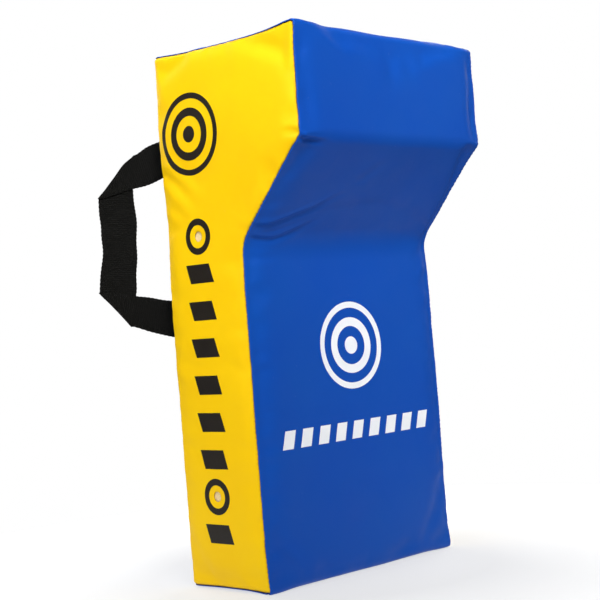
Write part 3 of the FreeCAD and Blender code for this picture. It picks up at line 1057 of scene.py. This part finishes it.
def triangulate(outlines, filler):
    """Triangles over points of outlines, which stay edges, and of a filler."""
    coords = [tuple(p) for outline in outlines for p in outline]
    edges, start = [], 0
    for outline in outlines:
        count = len(outline)
        edges += [(start + i, start + (i + 1) % count) for i in range(count)]
        start += count
    coords += [tuple(p) for p in filler]
    found = delaunay_2d_cdt([Vector(p) for p in coords], edges, [], 0, 1e-7)
    points = np.array([tuple(p) for p in found[0]])
    return points, np.array([tuple(face) for face in found[2]])


def circle(centre, radius, count):
    """Points round a circle."""
    angles = np.linspace(0, math.tau, count, endpoint=False)
    return np.array(centre) + radius * np.column_stack([np.cos(angles), np.sin(angles)])


def hex_grid(low, high, spacing):
    """Evenly spread points over a rectangle."""
    points = []
    for i, z in enumerate(np.arange(low[1], high[1], spacing * 0.87)):
        shift = spacing / 2 if i % 2 else 0.0
        points += [(y, z) for y in np.arange(low[0] + shift, high[0], spacing)]
    return np.array(points)


def seam_ring(sign):
    """Where the strip's edge meets a side panel, as a closed ring of (y, z)."""
    column = [0] if sign < 0 else [-1]
    return band_surface(range(len(ROWS)), COLUMN_X[column], COLUMN_DROP[column])[:, 0, 1:]


def offset_ring(ring, distance):
    """Ring moved inwards by a distance, without the points that would cross."""
    ahead, behind = np.roll(ring, -1, axis=0), np.roll(ring, 1, axis=0)
    tangent = ahead - behind
    tangent /= np.linalg.norm(tangent, axis=1)[:, None]
    moved = ring + np.column_stack([tangent[:, 1], -tangent[:, 0]]) * distance
    keep = distance_to_ring(moved, ring) > distance * 0.93
    return moved[keep]


SWELL = blow_up()
RINGS = {-1: seam_ring(-1), 1: seam_ring(1)}


def add_side(sign, name):
    """One side panel with its air vents, as a closed shell."""
    ring = RINGS[sign]
    spacing, clear = 5.2 * MM, 7 * MM
    filler = [offset_ring(ring, distance * MM) for distance in (0.7, 1.6, 2.9, 4.6)]
    inner = hex_grid(ring.min(0), ring.max(0), spacing)
    inner = inner[inside_ring(inner, ring)]
    inner = inner[distance_to_ring(inner, ring) > clear]
    for centre in VENTS:
        inner = inner[np.hypot(*(inner - centre).T) > VENT_RADIUS + clear]
        filler += [circle(centre, VENT_RADIUS + rim * MM, 28) for rim in (0.8, 2.0, 4.2)]
    vents = [circle(centre, VENT_RADIUS, 28) for centre in VENTS]
    points, faces = triangulate([ring] + vents, np.vstack(filler + [inner]))
    middle = points[faces].mean(1)
    keep = inside_ring(middle, ring)
    for centre in VENTS:
        keep &= np.hypot(*(middle - centre).T) > VENT_RADIUS * 0.99
    cloth = side_cloth(points, sign)
    faces = facing_faces(cloth, faces[keep], np.array([sign, 0.0, 0.0]))
    # Weight of the painted shade beside the seam ring.
    seam = seam_weight(distance_to_ring(points, ring))
    add_panel("side_cover_" + name, cloth, faces, seam, YELLOW, "vinyl_yellow", "side_panel_" + name)


# ======== foam core
def box_grid(low, high, spacing):
    """Surface of a box as a closed grid of quads."""
    steps = [max(2, round((high[i] - low[i]) / spacing)) for i in range(3)]
    index, points, faces = {}, [], []

    def vertex(key):
        if key not in index:
            index[key] = len(points)
            points.append([low[i] + (high[i] - low[i]) * key[i] / steps[i] for i in range(3)])
        return index[key]

    for axis in range(3):
        u, v = (axis + 1) % 3, (axis + 2) % 3
        for end in (0, steps[axis]):
            for i in range(steps[u]):
                for j in range(steps[v]):
                    quad = []
                    for du, dv in ((0, 0), (1, 0), (1, 1), (0, 1)):
                        key = [0, 0, 0]
                        key[axis], key[u], key[v] = end, i + du, j + dv
                        quad.append(vertex(tuple(key)))
                    faces.append(tuple(quad if end else reversed(quad)))
    return np.array(points), faces


FOAM_SLACK = 6 * MM            # between the foam and the cover at the front, back and base
FOAM_TOP = HEIGHT - 13 * MM
FOAM_FLANK = HALF_WIDTH - 8 * MM
FOAM_BEHIND = 2.4 * MM         # depth of the foam's sides under the cloth
FOAM_ROUNDING = 5 * MM         # and what is added near the edges
FOAM_SPACING = 15 * MM


def foam_pieces():
    """Slab and head block of the core, close under the cover at the vents."""
    pieces = (
        ("slab_foam", "foam_slab", (FRONT_Y + FOAM_SLACK, BACK_Y - FOAM_SLACK), FOAM_SLACK),
        ("head_foam", "foam_head_block", (HEAD_Y + FOAM_SLACK + 1 * MM, FRONT_Y + FOAM_SLACK), HOLLOW_Z),
    )
    for name, node, (front, back), bottom in pieces:
        points, faces = box_grid((-FOAM_FLANK, front, bottom), (FOAM_FLANK, back, FOAM_TOP), FOAM_SPACING)
        if node == "foam_head_block":
            out = (FRONT_Y - points[:, 1]) / (FRONT_Y - HEAD_Y)
            slope = HOLLOW_Z + out * (NOSE_Z - HOLLOW_Z) + 10 * MM
            points[:, 2] = slope + (FOAM_TOP - slope) * (points[:, 2] - bottom) / (FOAM_TOP - bottom)
        on_flank = np.abs(points[:, 0]) > FOAM_FLANK - 0.01 * MM
        gap = distance_to_ring(points[:, 1:], RINGS[1])
        behind = FOAM_BEHIND + FOAM_ROUNDING * np.exp(-gap / (12 * MM))
        for sign, _ in SIDES:
            moved = on_flank & (points[:, 0] * sign > 0)
            cloth = side_cloth(points[moved][:, 1:], sign)
            points[moved, 0] = cloth[:, 0] - sign * behind[moved]
        piece = make_object(name, points, faces, FOAM)
        adopt(piece, "shield", "foam", node)


# ======== printed marks
PRINT_SPACING = 6 * MM
INK_RISE = 0.22 * MM
INK_FILM = 0.5 * MM


def fill_shape(solid, holes):
    """Triangles over an outline with holes."""
    clear = PRINT_SPACING * 0.45
    filler = hex_grid(solid.min(0), solid.max(0), PRINT_SPACING)
    filler = filler[inside_ring(filler, solid)]
    filler = filler[distance_to_ring(filler, solid) > clear]
    for hole in holes:
        filler = filler[~inside_ring(filler, hole)]
        if len(filler):
            filler = filler[distance_to_ring(filler, hole) > clear]
    points, faces = triangulate([solid] + holes, filler)
    middle = points[faces].mean(1)
    keep = inside_ring(middle, solid)
    for hole in holes:
        keep &= ~inside_ring(middle, hole)
    return points, faces[keep]


def print_patch(name, outlines, surface, material, slot):
    """Film of ink over the shapes in outlines, which lie in a plane, on a surface."""
    all_points, all_faces, start = [], [], 0
    for solid, holes in outlines:
        points, faces = fill_shape(solid, holes)
        all_points.append(points)
        all_faces.append(faces + start)
        start += len(points)
    cloth, outward = surface(np.vstack(all_points))
    faces = facing_faces(cloth, np.vstack(all_faces), outward)
    shell, shell_faces = thicken(cloth + outward * INK_RISE, faces, INK_FILM)
    piece = make_object(name, shell, shell_faces, material)
    sharpen(piece)
    adopt(piece, "shield", slot)


def ring_shape(centre, outer, inner, count=72):
    """Flat ring as (outline, holes)."""
    return circle(centre, outer, count), [circle(centre, inner, count)]


def along_edges(corners, step):
    """Closed outline through corners, with points about a step apart along its edges."""
    outline = []
    for i, corner in enumerate(corners):
        following = corners[(i + 1) % len(corners)]
        count = max(1, round(np.linalg.norm(following - corner) / step))
        outline += [corner + (following - corner) * k / count for k in range(count)]
    return np.array(outline)


def slanted_bar(centre, width, height, slant):
    """Parallelogram as (outline, holes), with points along its edges."""
    half_w, half_h, lean = width / 2, height / 2, slant / 2
    corners = np.array([
        (-half_w - lean, -half_h), (half_w - lean, -half_h),
        (half_w + lean, half_h), (-half_w + lean, half_h),
    ])
    return along_edges(corners + np.array(centre), 5 * MM), []


def target(centre, outer):
    """Ring, inner ring and centre spot."""
    return [
        ring_shape(centre, outer, outer * 0.86),
        ring_shape(centre, outer * 0.64, outer * 0.44),
        (circle(centre, outer * 0.2, 36), []),
    ]


def plane_cloth(x, y, z, normal):
    """Cloth over points of a flat face of the strip."""
    points = np.column_stack([x, y, z])
    normals = np.tile(normal, (len(points), 1))
    height = band_height(points, normals, np.zeros(len(points)))
    return shape_cover(points + normals * height[:, None] + swell_at(points))


def front_surface(flat):
    """Cloth of the lower front at (x, z), and the way it faces."""
    return plane_cloth(flat[:, 0], np.full(len(flat), FRONT_Y), flat[:, 1], -BACKWARDS), -BACKWARDS


def side_surface(sign):
    """Cloth of a side at (y, z), and the way it faces."""
    def surface(flat):
        return side_cloth(flat, sign), np.array([sign, 0.0, 0.0])
    return surface


MARKS = 9
FRONT_TARGET_Z, FRONT_TARGET_RADIUS = 322 * MM, 62 * MM
FRONT_BAR_Z, FRONT_BAR_PITCH = 202 * MM, 34.5 * MM
FRONT_BAR = (20 * MM, 25 * MM, 7 * MM)  # width, height and slant
SIDE_BAR = (46 * MM, 26 * MM, 8 * MM)
SIDE_TARGET, SIDE_TARGET_RADIUS = (VENT_Y + 2 * MM, 630 * MM), 57 * MM
VENT_MARK = (25 * MM, 16 * MM)          # outer and inner radius of the ring round a vent
VENT_MARKS = (0, 7)                     # places in the row of marks that are vents


def printed_marks():
    """Generic marks: a target over a row of bars on the front, and the same down each side."""
    front = target((0.0, FRONT_TARGET_Z), FRONT_TARGET_RADIUS)
    for k in range(MARKS):
        centre = ((k - MARKS // 2) * FRONT_BAR_PITCH, FRONT_BAR_Z)
        front.append(slanted_bar(centre, *FRONT_BAR))
    print_patch("front_print", front, front_surface, WHITE_INK, "vinyl_blue")
    side = target(SIDE_TARGET, SIDE_TARGET_RADIUS)
    for k in range(MARKS):
        centre = (VENT_Y, VENT_HIGH - k * (VENT_HIGH - VENT_LOW) / VENT_MARKS[1])
        if k in VENT_MARKS:
            side.append(ring_shape(centre, *VENT_MARK, 48))
        else:
            side.append(slanted_bar(centre, *SIDE_BAR))
    for sign, name in SIDES:
        print_patch("side_print_" + name, side, side_surface(sign), BLACK_INK, "vinyl_yellow")


# ======== webbing handles
STRAP_WIDTH = 50 * MM
STRAP_THICK = 2.2 * MM
TAB_Y = (ends_low.y + ends_high.y) / 2
LOOP_ANGLE = math.radians(45)  # the loop leaves the back at this angle
BEND_RADIUS = 9 * MM
UPPER_ANCHOR = HEIGHT - 132 * MM
UPPER_CORNER = (100 * MM, HEIGHT - 160 * MM)
LOWER_CORNER = (110 * MM, HEIGHT - 354 * MM)
LOWER_ANCHOR = HEIGHT - 375 * MM
SEWN_LENGTH = 62 * MM
ROW_LENGTH = 0.85 * MM
RIB_HEIGHT = 0.16 * MM
SCALLOP = 0.22 * MM            # the ribs show at the strap's edges
LAYERS = [-0.5 * STRAP_THICK, 0.62 * STRAP_THICK, -0.5 * STRAP_THICK]  # of the three runs between the folds


def swing_path(reach, layer):
    """Top view (x, y) of the right strap at a reach from the hinge line, with a layer outwards."""
    rise = HINGE_Y - TAB_Y
    bend_x = HINGE_X - rise / math.tan(LOOP_ANGLE)
    distance = reach + rise / math.sin(LOOP_ANGLE)
    arc_length = BEND_RADIUS * LOOP_ANGLE
    angle = np.clip((distance + arc_length / 2) / arc_length, 0, 1) * LOOP_ANGLE
    before = np.minimum(distance + arc_length / 2, 0)
    after = np.maximum(distance - arc_length / 2, 0)
    start_x = bend_x - BEND_RADIUS * math.tan(LOOP_ANGLE / 2)
    x = start_x + BEND_RADIUS * np.sin(angle) + before + after * math.cos(LOOP_ANGLE)
    y = TAB_Y + BEND_RADIUS * (1 - np.cos(angle)) + after * math.sin(LOOP_ANGLE)
    return x - layer * np.sin(angle), y + layer * np.cos(angle)


def strap_stops():
    """Both ends of each straight run of the flat strap: point, direction and fold line, if there is one."""
    upper, lower = np.array([0.0, UPPER_ANCHOR]), np.array([0.0, LOWER_ANCHOR])
    high, low = np.array(UPPER_CORNER), np.array(LOWER_CORNER)
    out_high, down, in_low = unit(high - upper), unit(low - high), unit(lower - low)
    fold_high, fold_low = unit(out_high + down), unit(down + in_low)
    return [
        (upper - out_high * SEWN_LENGTH, out_high, None), (high, out_high, fold_high),
        (high, down, fold_high), (low, down, fold_low),
        (low, in_low, fold_low), (lower + in_low * SEWN_LENGTH, in_low, None),
    ]


def cut_ends(point, along, cut):
    """Both edges of the strap where a straight run ends, square or along a fold."""
    normal = np.array([-along[1], along[0]])
    ends = []
    for side in (1, -1):
        edge = normal * side * STRAP_WIDTH / 2
        if cut is None:
            ends.append(point + edge)
        else:
            slide = -(edge[0] * cut[1] - edge[1] * cut[0]) / (along[0] * cut[1] - along[1] * cut[0])
            ends.append(point + edge + along * slide)
    return np.array(ends)


def strap_rows():
    """Rows of one flat strap as (points, layer, direction), distances along it, and shares across it."""
    stops = strap_stops()
    across = np.linspace(0, 1, 15)
    rows, distances, base = [], [], 0.0
    for run, layer in enumerate(LAYERS):
        (first, along, cut_first), (last, _, cut_last) = stops[2 * run], stops[2 * run + 1]
        a, b = cut_ends(first, along, cut_first), cut_ends(last, along, cut_last)
        length = np.linalg.norm(last - first)
        count = round(length / ROW_LENGTH)
        for k in range(count + 1):
            line = a + (b - a) * k / count
            flat = line[0] + (line[1] - line[0]) * across[:, None]
            rows.append((flat, layer, along))
            distances.append(base + (flat - first) @ along)
        base += length
        if cut_last is not None:
            add_fold(rows, distances, stops[2 * run + 1], layer, LAYERS[run + 1], base)
    return rows, np.array(distances), across


def add_fold(rows, distances, stop, layer, next_layer, base):
    """Rows that carry the strap round a fold, from one layer to the next."""
    point, along, cut = stop
    flat = rows[-1][0]
    outward = np.array([cut[1], -cut[0]])
    if outward @ along < 0:
        outward = -outward
    middle, half = (layer + next_layer) / 2, (next_layer - layer) / 2
    for k in range(1, 6):
        angle = -math.pi / 2 + math.pi * k / 6
        shifted = flat + outward * abs(half) * math.cos(angle)
        rows.append((shifted, middle + half * math.sin(angle), along))
        distances.append(base + (flat - point) @ along)


# soft pulls on the loop in its own plane: centre and shift as (reach, height), and how far each is felt
LOOP_PULLS = [
    ((74, 625), (-3.0, -5.5), 17), ((104, 596), (-1.0, 0.0), 14), ((130, 560), (0.0, 2.5), 12),
    ((125, 482), (-5.0, 0.0), 26), ((133, 520), (-2.0, 0.0), 14), ((136, 418), (1.0, -2.0), 16),
    ((86, 366), (5.0, 6.0), 17), ((30, 350), (0.0, -3.5), 26), ((52, 574), (0.0, -3.5), 22),
    ((80, 520), (-4.5, 0.0), 26), ((82, 470), (-4.0, 0.0), 26), ((80, 428), (-2.5, -2.0), 16),
    ((40, 412), (0.0, -2.0), 18),
]


def pull_loop(flat):
    """Shape the loop in its plane as worn webbing hangs, not as straight runs."""
    moved = flat.copy()
    for centre, shift, reach in LOOP_PULLS:
        gap = np.linalg.norm(flat - np.array(centre) * MM, axis=1)
        moved += np.exp(-(gap / (reach * MM)) ** 2)[:, None] * np.array(shift) * MM
    return moved


SLOW_SWAY = (3.0 * MM, 120 * MM)  # height and length of the loop's waves out of its plane
QUICK_SWAY = (1.2 * MM, 37 * MM)


def bend_strap(flat, layer, rib, sign):
    """Place flat strap points in space: round the hinge bend, with a little slack in the loop."""
    flat = pull_loop(flat)
    reach, z = flat[:, 0], flat[:, 1]
    free = smoothstep(8 * MM, 90 * MM, reach)
    middle = (UPPER_ANCHOR + LOWER_ANCHOR) / 2
    slow = SLOW_SWAY[0] * np.sin((z - middle) / SLOW_SWAY[1])
    sway = free * (slow + QUICK_SWAY[0] * np.sin(z / QUICK_SWAY[1]))
    x, y = swing_path(reach, layer + rib + sway)
    return np.column_stack([sign * x, y, z])


def make_handle(sign, name):
    """One strap as a closed band of webbing that bends across its hinge."""
    rows, distances, across = strap_rows()
    edge_thin = 1 - 0.45 * np.exp(-np.minimum(across, 1 - across) * STRAP_WIDTH / (1.2 * MM))
    half = STRAP_THICK / 2 * edge_thin
    ribs = RIB_HEIGHT * np.abs(np.sin(distances * math.pi / STRAP_RIB))
    scallop = SCALLOP * np.sin(distances * math.pi / STRAP_RIB)
    edge = np.zeros(len(across))
    edge[0], edge[-1] = 1, -1
    sheets = {1: [], -1: []}
    for (flat, layer, along), facing, rib, wave in zip(rows, fold_sides(rows), ribs, scallop):
        flat = flat + np.outer(edge * wave, [-along[1], along[0]])
        for side, sheet in sheets.items():
            sheet.append(bend_strap(flat, layer + side * facing * half, side * facing * rib, sign))
    total = distances.size
    top = grid_faces(*distances.shape)
    bottom = [tuple(v + total for v in face) for face in turned_over(top)]
    rim = [(b, a, a + total, b + total) for a, b in border_edges(top)]
    faces = top + bottom + rim
    if sign > 0:
        faces = turned_over(faces)
    piece = make_object("handle_" + name, np.vstack(sheets[1] + sheets[-1]), faces, WEBBING)
    set_attribute(piece, "along", np.tile(distances.ravel(), 2))
    set_attribute(piece, "across", np.tile(across * STRAP_WIDTH, 2 * len(rows)))
    sharpen(piece, 55)
    adopt(piece, None, "webbing", "handle_strap_" + name, "handle_ends_" + name)
    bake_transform(piece)


def fold_sides(rows):
    """Which way the strap's first face looks in each row: it turns over at each fold."""
    levels = [layer for _, layer, _ in rows]
    low, high = min(levels), max(levels)
    return [1 - 2 * (layer - low) / (high - low) for layer in levels]


# ======== patches and thread
STITCH = 3.1 * MM
STITCH_GAP = 0.8 * MM
STITCH_MARGIN = 6 * MM         # from the strap's edges to the box of stitches
STITCH_AROUND = 6


def capsule(length, radius):
    """Small stitch along +X: points and faces, with rounded ends."""
    around = STITCH_AROUND
    sections = [(-0.5, 0.25), (-0.42, 0.7), (-0.25, 1.0), (0.25, 1.0), (0.42, 0.7), (0.5, 0.25)]
    points, faces = [], []
    for share, size in sections:
        for k in range(around):
            angle = math.tau * k / around
            points.append((share * length, math.cos(angle) * size * radius, math.sin(angle) * size * radius))
    for row in range(len(sections) - 1):
        for k in range(around):
            a, b = row * around + k, row * around + (k + 1) % around
            faces.append((a, b, b + around, a + around))
    faces.append(tuple(reversed(range(around))))
    faces.append(tuple(range(len(points) - around, len(points))))
    return np.array(points), faces


def stitch_row(path, radius=0.42 * MM):
    """Stitches laid along a path of points on the back, as a list of (points, faces)."""
    template, faces = capsule(STITCH, radius)
    steps = np.diff(path, axis=0)
    lengths = np.concatenate([[0], np.cumsum(np.linalg.norm(steps, axis=1))])
    count = int(lengths[-1] // (STITCH + STITCH_GAP))
    found = []
    for k in range(count):
        middle = (k + 0.5) * lengths[-1] / count
        place = np.array([np.interp(middle, lengths, path[:, i]) for i in range(3)])
        along = unit(steps[min(np.searchsorted(lengths, middle) - 1, len(steps) - 1)])
        side = np.cross(BACKWARDS, along)
        found.append((place + template @ np.array([along, side, BACKWARDS]), faces))
    return found


def join_parts(parts):
    """One mesh from several (points, faces)."""
    points, faces, start = [], [], 0
    for part_points, part_faces in parts:
        points.append(part_points)
        faces += [tuple(v + start for v in face) for face in part_faces]
        start += len(part_points)
    return np.vstack(points), faces


def on_back(x, z, height):
    """Points at (x, z) on the cloth of the back, raised by a height."""
    cloth = plane_cloth(x, np.full(len(x), BACK_Y), z, BACKWARDS)
    return np.column_stack([x, cloth[:, 1] + height, z])


def rounded_rectangle(low, high, radius):
    """Closed outline (x, z) of a rectangle with round corners."""
    centres = [
        (high[0] - radius, high[1] - radius), (low[0] + radius, high[1] - radius),
        (low[0] + radius, low[1] + radius), (high[0] - radius, low[1] + radius),
    ]
    outline = []
    for quarter, centre in enumerate(centres):
        for k in range(7):
            angle = math.radians(90 * quarter + 15 * k)
            outline.append(np.array(centre) + radius * np.array([math.cos(angle), math.sin(angle)]))
    return along_edges(outline, 4 * MM)


PATCH_INSET = 5 * MM           # from the patch's edge to its stitching
PATCH_THICK = 1.0 * MM


def make_patch(sign, name):
    """Reinforcing patch under the sewn ends, puffed a little inside its stitching; gives its stitches."""
    low, high = np.array([patch_low.x, patch_low.z]), np.array([patch_high.x, patch_high.z])
    outline = rounded_rectangle(low, high, 14 * MM)
    filler = hex_grid(low, high, 6 * MM)
    filler = filler[inside_ring(filler, outline)]
    filler = filler[distance_to_ring(filler, outline) > 2.6 * MM]
    rim = offset_ring(outline[::-1], 1.2 * MM)
    flat, faces = triangulate([outline], np.vstack([filler, rim]))
    faces = faces[inside_ring(flat[faces].mean(1), outline)]
    gap = distance_to_ring(flat, outline)
    edge = 0.55 * MM * np.exp(-gap / (0.8 * MM))
    sewn = 0.35 * MM * np.exp(-((gap - PATCH_INSET) / (1.3 * MM)) ** 2)
    cloth = on_back(sign * flat[:, 0], flat[:, 1], PATCH_THICK - edge - sewn)
    shell, shell_faces = thicken(cloth, facing_faces(cloth, faces, BACKWARDS), PATCH_THICK)
    piece = make_object("patch_" + name, shell, shell_faces, DEEP_BLUE)
    # Painted shade along the patch's edge, half as strong as at a seam.
    set_attribute(piece, "seam", np.tile(0.5 * seam_weight(gap), 2))
    adopt(piece, "shield", "vinyl_patch", "handle_patch_" + name)
    inner = rounded_rectangle(low + PATCH_INSET, high - PATCH_INSET, 9 * MM)
    path = np.vstack([inner, inner[:1]])
    return stitch_row(on_back(sign * path[:, 0], path[:, 1], 0.95 * MM))


def end_stitches(sign):
    """Box and cross of stitches through each sewn end."""
    parts = []
    stops = strap_stops()
    outer_y = ends_high.y + 0.1 * MM
    near, far = -2 * STITCH_MARGIN, STITCH_MARGIN - SEWN_LENGTH
    half = STRAP_WIDTH / 2 - STITCH_MARGIN
    for height, out in ((UPPER_ANCHOR, stops[0][1]), (LOWER_ANCHOR, -stops[4][1])):
        anchor, side = np.array([HINGE_X, height]), np.array([-out[1], out[0]])
        box = ((near, half), (far, half), (far, -half), (near, -half))
        corners = [anchor + out * reach + side * across for reach, across in box]
        for first, last in ((0, 1), (1, 2), (2, 3), (3, 0), (0, 2), (1, 3)):
            flat = np.array([corners[first], corners[last]])
            path = np.column_stack([sign * flat[:, 0], np.full(2, outer_y), flat[:, 1]])
            parts += stitch_row(path, radius=0.5 * MM)
    return parts


def zip_stitch_rows():
    """Thread beside each edge of the zip's opening."""
    parts = []
    z = np.linspace(zip_low.z - 6 * MM, zip_high.z + 6 * MM, 60)
    for sign, _ in SIDES:
        parts += stitch_row(on_back(np.full(len(z), sign * (SLOT_HALF + 3 * MM)), z, 0.12 * MM))
    return parts


def add_thread(name, parts, material, *nodes):
    """One piece from many stitches."""
    points, faces = join_parts(parts)
    adopt(make_object(name, points, faces, material), "shield", "thread", *nodes)


# ======== zip
TAPE_THICK = 0.6 * MM
COIL_PITCH = 2.0 * MM
COIL_WIRE = 0.62 * MM          # radius of the coil's nylon


def make_tape(sign, name):
    """One tape of the zip, behind its back panel."""
    x, z = np.meshgrid(np.linspace(tape_low.x, tape_high.x, 10), np.linspace(tape_low.z, tape_high.z, 240))
    flat = np.column_stack([x.ravel() * sign, np.full(x.size, tape_high.y), z.ravel()])
    faces = grid_faces(*x.shape)
    if sign > 0:
        faces = turned_over(faces)
    shell, shell_faces = thicken(flat, faces, TAPE_THICK)
    piece = make_object("tape_" + name, shell, shell_faces, ZIP_TAPE)
    set_attribute(piece, "along", np.tile(z.ravel(), 2))
    set_attribute(piece, "across", np.tile(x.ravel(), 2))
    adopt(piece, "shield", "zip_tape", "zip_tape_" + name)


def make_coil(sign, name):
    """One coil of the zip as a row of arched turns, half a pitch off the other coil's."""
    turn, faces = capsule(coil_high.x + 0.5 * MM, COIL_WIRE)
    turn[:, 2] += 0.45 * MM * np.cos(turn[:, 0] / coil_high.x * math.pi)
    turn = np.column_stack([turn[:, 0], turn[:, 2] * 1.3, turn[:, 1]])
    x, y = sign * (coil_high.x / 2 - 0.2 * MM), coil_high.y - 1.1 * MM
    first = coil_low.z + (0.25 if sign > 0 else 0.75) * COIL_PITCH
    count = int((coil_high.z - coil_low.z) / COIL_PITCH)
    points, faces = join_parts([(turn + [x, y, first + k * COIL_PITCH], faces) for k in range(count)])
    adopt(make_object("coil_" + name, points, faces, COIL), "shield", "zip_coil", "zip_coil_" + name)


def back_details():
    """Patches, straps, zip and all thread."""
    for sign, name in SIDES:
        patch_parts = make_patch(sign, name)
        make_handle(sign, name)
        add_thread("strap_stitches_" + name, end_stitches(sign), BLACK_THREAD, "handle_stitching_" + name)
        add_thread("patch_stitches_" + name, patch_parts, BLUE_THREAD)
    for sign, name in SIDES:
        make_tape(sign, name)
        make_coil(sign, name)
    add_thread("zip_stitches", zip_stitch_rows(), BLUE_THREAD, "zip_stitching")
    for node in ("zip_end_stops", "zip_slider", "zip_puller"):
        for slot in frame["nodes"][node].material_slots:
            slot.material = ENAMEL


# ======== studio
WHITE = (1.0, 1.0, 1.0, 1.0)
FLOOR_RADIUS = 0.85
FLOOR_SIDES = 96
ROOM_LIGHT = 0.14
MIDDLE = (0.0, -0.03, 0.42)
# name: place, aim, size, power and spread in degrees
AREA_LIGHTS = {
    "key": ((-0.6, -1.3, 1.78), (0.0, -0.2, 0.95), 1.1, 5.15, 40),
    "fill": ((-1.8, -0.05, 1.5), (0.0, 0.0, 0.74), 1.1, 4.8, 75),
    "back": ((0.3, 1.9, 1.5), MIDDLE, 1.4, 30, 180),
    "far_side": ((2.2, 0.6, 1.3), MIDDLE, 1.2, 24, 180),
    "sheen": ((1.7, -1.75, 0.7), (0.05, -0.1, 0.45), 1.1, 3.8, 180),
}
OVERHEAD_POWER = 0.5
OVERHEAD_ANGLE = math.radians(60)
CAMERA_PLACE = (-1.4740, -1.4100, 0.3627)
CAMERA_TURN = (-46.05, -0.84, -4.34)  # azimuth, elevation and roll in degrees
CAMERA_LENS = 83.2
CAMERA_SENSOR = 36.0


def add_to_scene(name, data):
    """Light or camera as an object of the scene."""
    found = bpy.data.objects.new(name, data)
    bpy.context.scene.collection.objects.link(found)
    return found


def make_floor():
    """Pale floor that glows and brightens away from the shield: painted light that also lights the shield,
    dimmed round it as a painted shade.
    """
    nodes = Nodes("floor_pale")
    distance = nodes.add("ShaderNodeVectorMath", {0: nodes.place}, operation="LENGTH").outputs["Value"]
    # Painted light: the floor's own glow, weaker near the shield as a painted shade round it.
    glow = nodes.span(distance, 0.25, 0.6, 0.6, 0.9)
    nodes.finish(Base_Color=(0.27, 0.27, 0.27, 1.0), Roughness=0.9, Specular_IOR_Level=0.1,
                 Emission_Color=WHITE, Emission_Strength=glow)
    rim = circle((0.0, 0.0), FLOOR_RADIUS, FLOOR_SIDES)
    points = np.column_stack([rim, np.zeros(FLOOR_SIDES)])
    floor = make_object("floor", points, [tuple(range(FLOOR_SIDES))], nodes.material)


def make_world():
    """White surround that lights the shield only a little."""
    world = bpy.data.worlds.new("studio")
    bpy.context.scene.world = world
    world.use_nodes = True
    tree = world.node_tree
    background = tree.nodes["Background"]
    background.inputs["Color"].default_value = WHITE
    seen = tree.nodes.new("ShaderNodeLightPath").outputs["Is Camera Ray"]
    strength = tree.nodes.new("ShaderNodeMapRange")
    strength.inputs["To Min"].default_value = ROOM_LIGHT
    strength.inputs["To Max"].default_value = 1.0
    tree.links.new(seen, strength.inputs["Value"])
    tree.links.new(strength.outputs["Result"], background.inputs["Strength"])


def make_lights():
    """Soft area lights and a wide, weak overhead light."""
    for name, (place, aim, size, power, spread) in AREA_LIGHTS.items():
        light = bpy.data.lights.new(name, "AREA")
        light.size, light.energy, light.spread = size, power, math.radians(spread)
        light_object = add_to_scene(name, light)
        light_object.location = place
        light_object.rotation_euler = (Vector(aim) - Vector(place)).to_track_quat("-Z", "Y").to_euler()
    overhead = bpy.data.lights.new("overhead", "SUN")
    overhead.energy, overhead.angle = OVERHEAD_POWER, OVERHEAD_ANGLE
    add_to_scene("overhead", overhead)


def make_camera():
    """The photo's camera."""
    camera = bpy.data.cameras.new("camera")
    camera.sensor_width, camera.lens = CAMERA_SENSOR, CAMERA_LENS
    azimuth, elevation, roll = (math.radians(angle) for angle in CAMERA_TURN)
    level = math.cos(elevation)
    back = Vector((math.sin(azimuth) * level, -math.cos(azimuth) * level, math.sin(elevation)))
    right = Vector((math.cos(azimuth), math.sin(azimuth), 0.0))
    up = back.cross(right)
    rolled_right = right * math.cos(roll) + up * math.sin(roll)
    rolled_up = up * math.cos(roll) - right * math.sin(roll)
    turn = Matrix((rolled_right, rolled_up, back)).transposed().to_4x4()
    camera_object = add_to_scene("camera", camera)
    camera_object.matrix_world = Matrix.Translation(CAMERA_PLACE) @ turn
    bpy.context.scene.camera = camera_object
    bpy.context.scene.view_settings.view_transform = "Standard"


main_cover()
foam_pieces()
printed_marks()
back_details()
make_floor()
make_world()
make_lights()
make_camera()
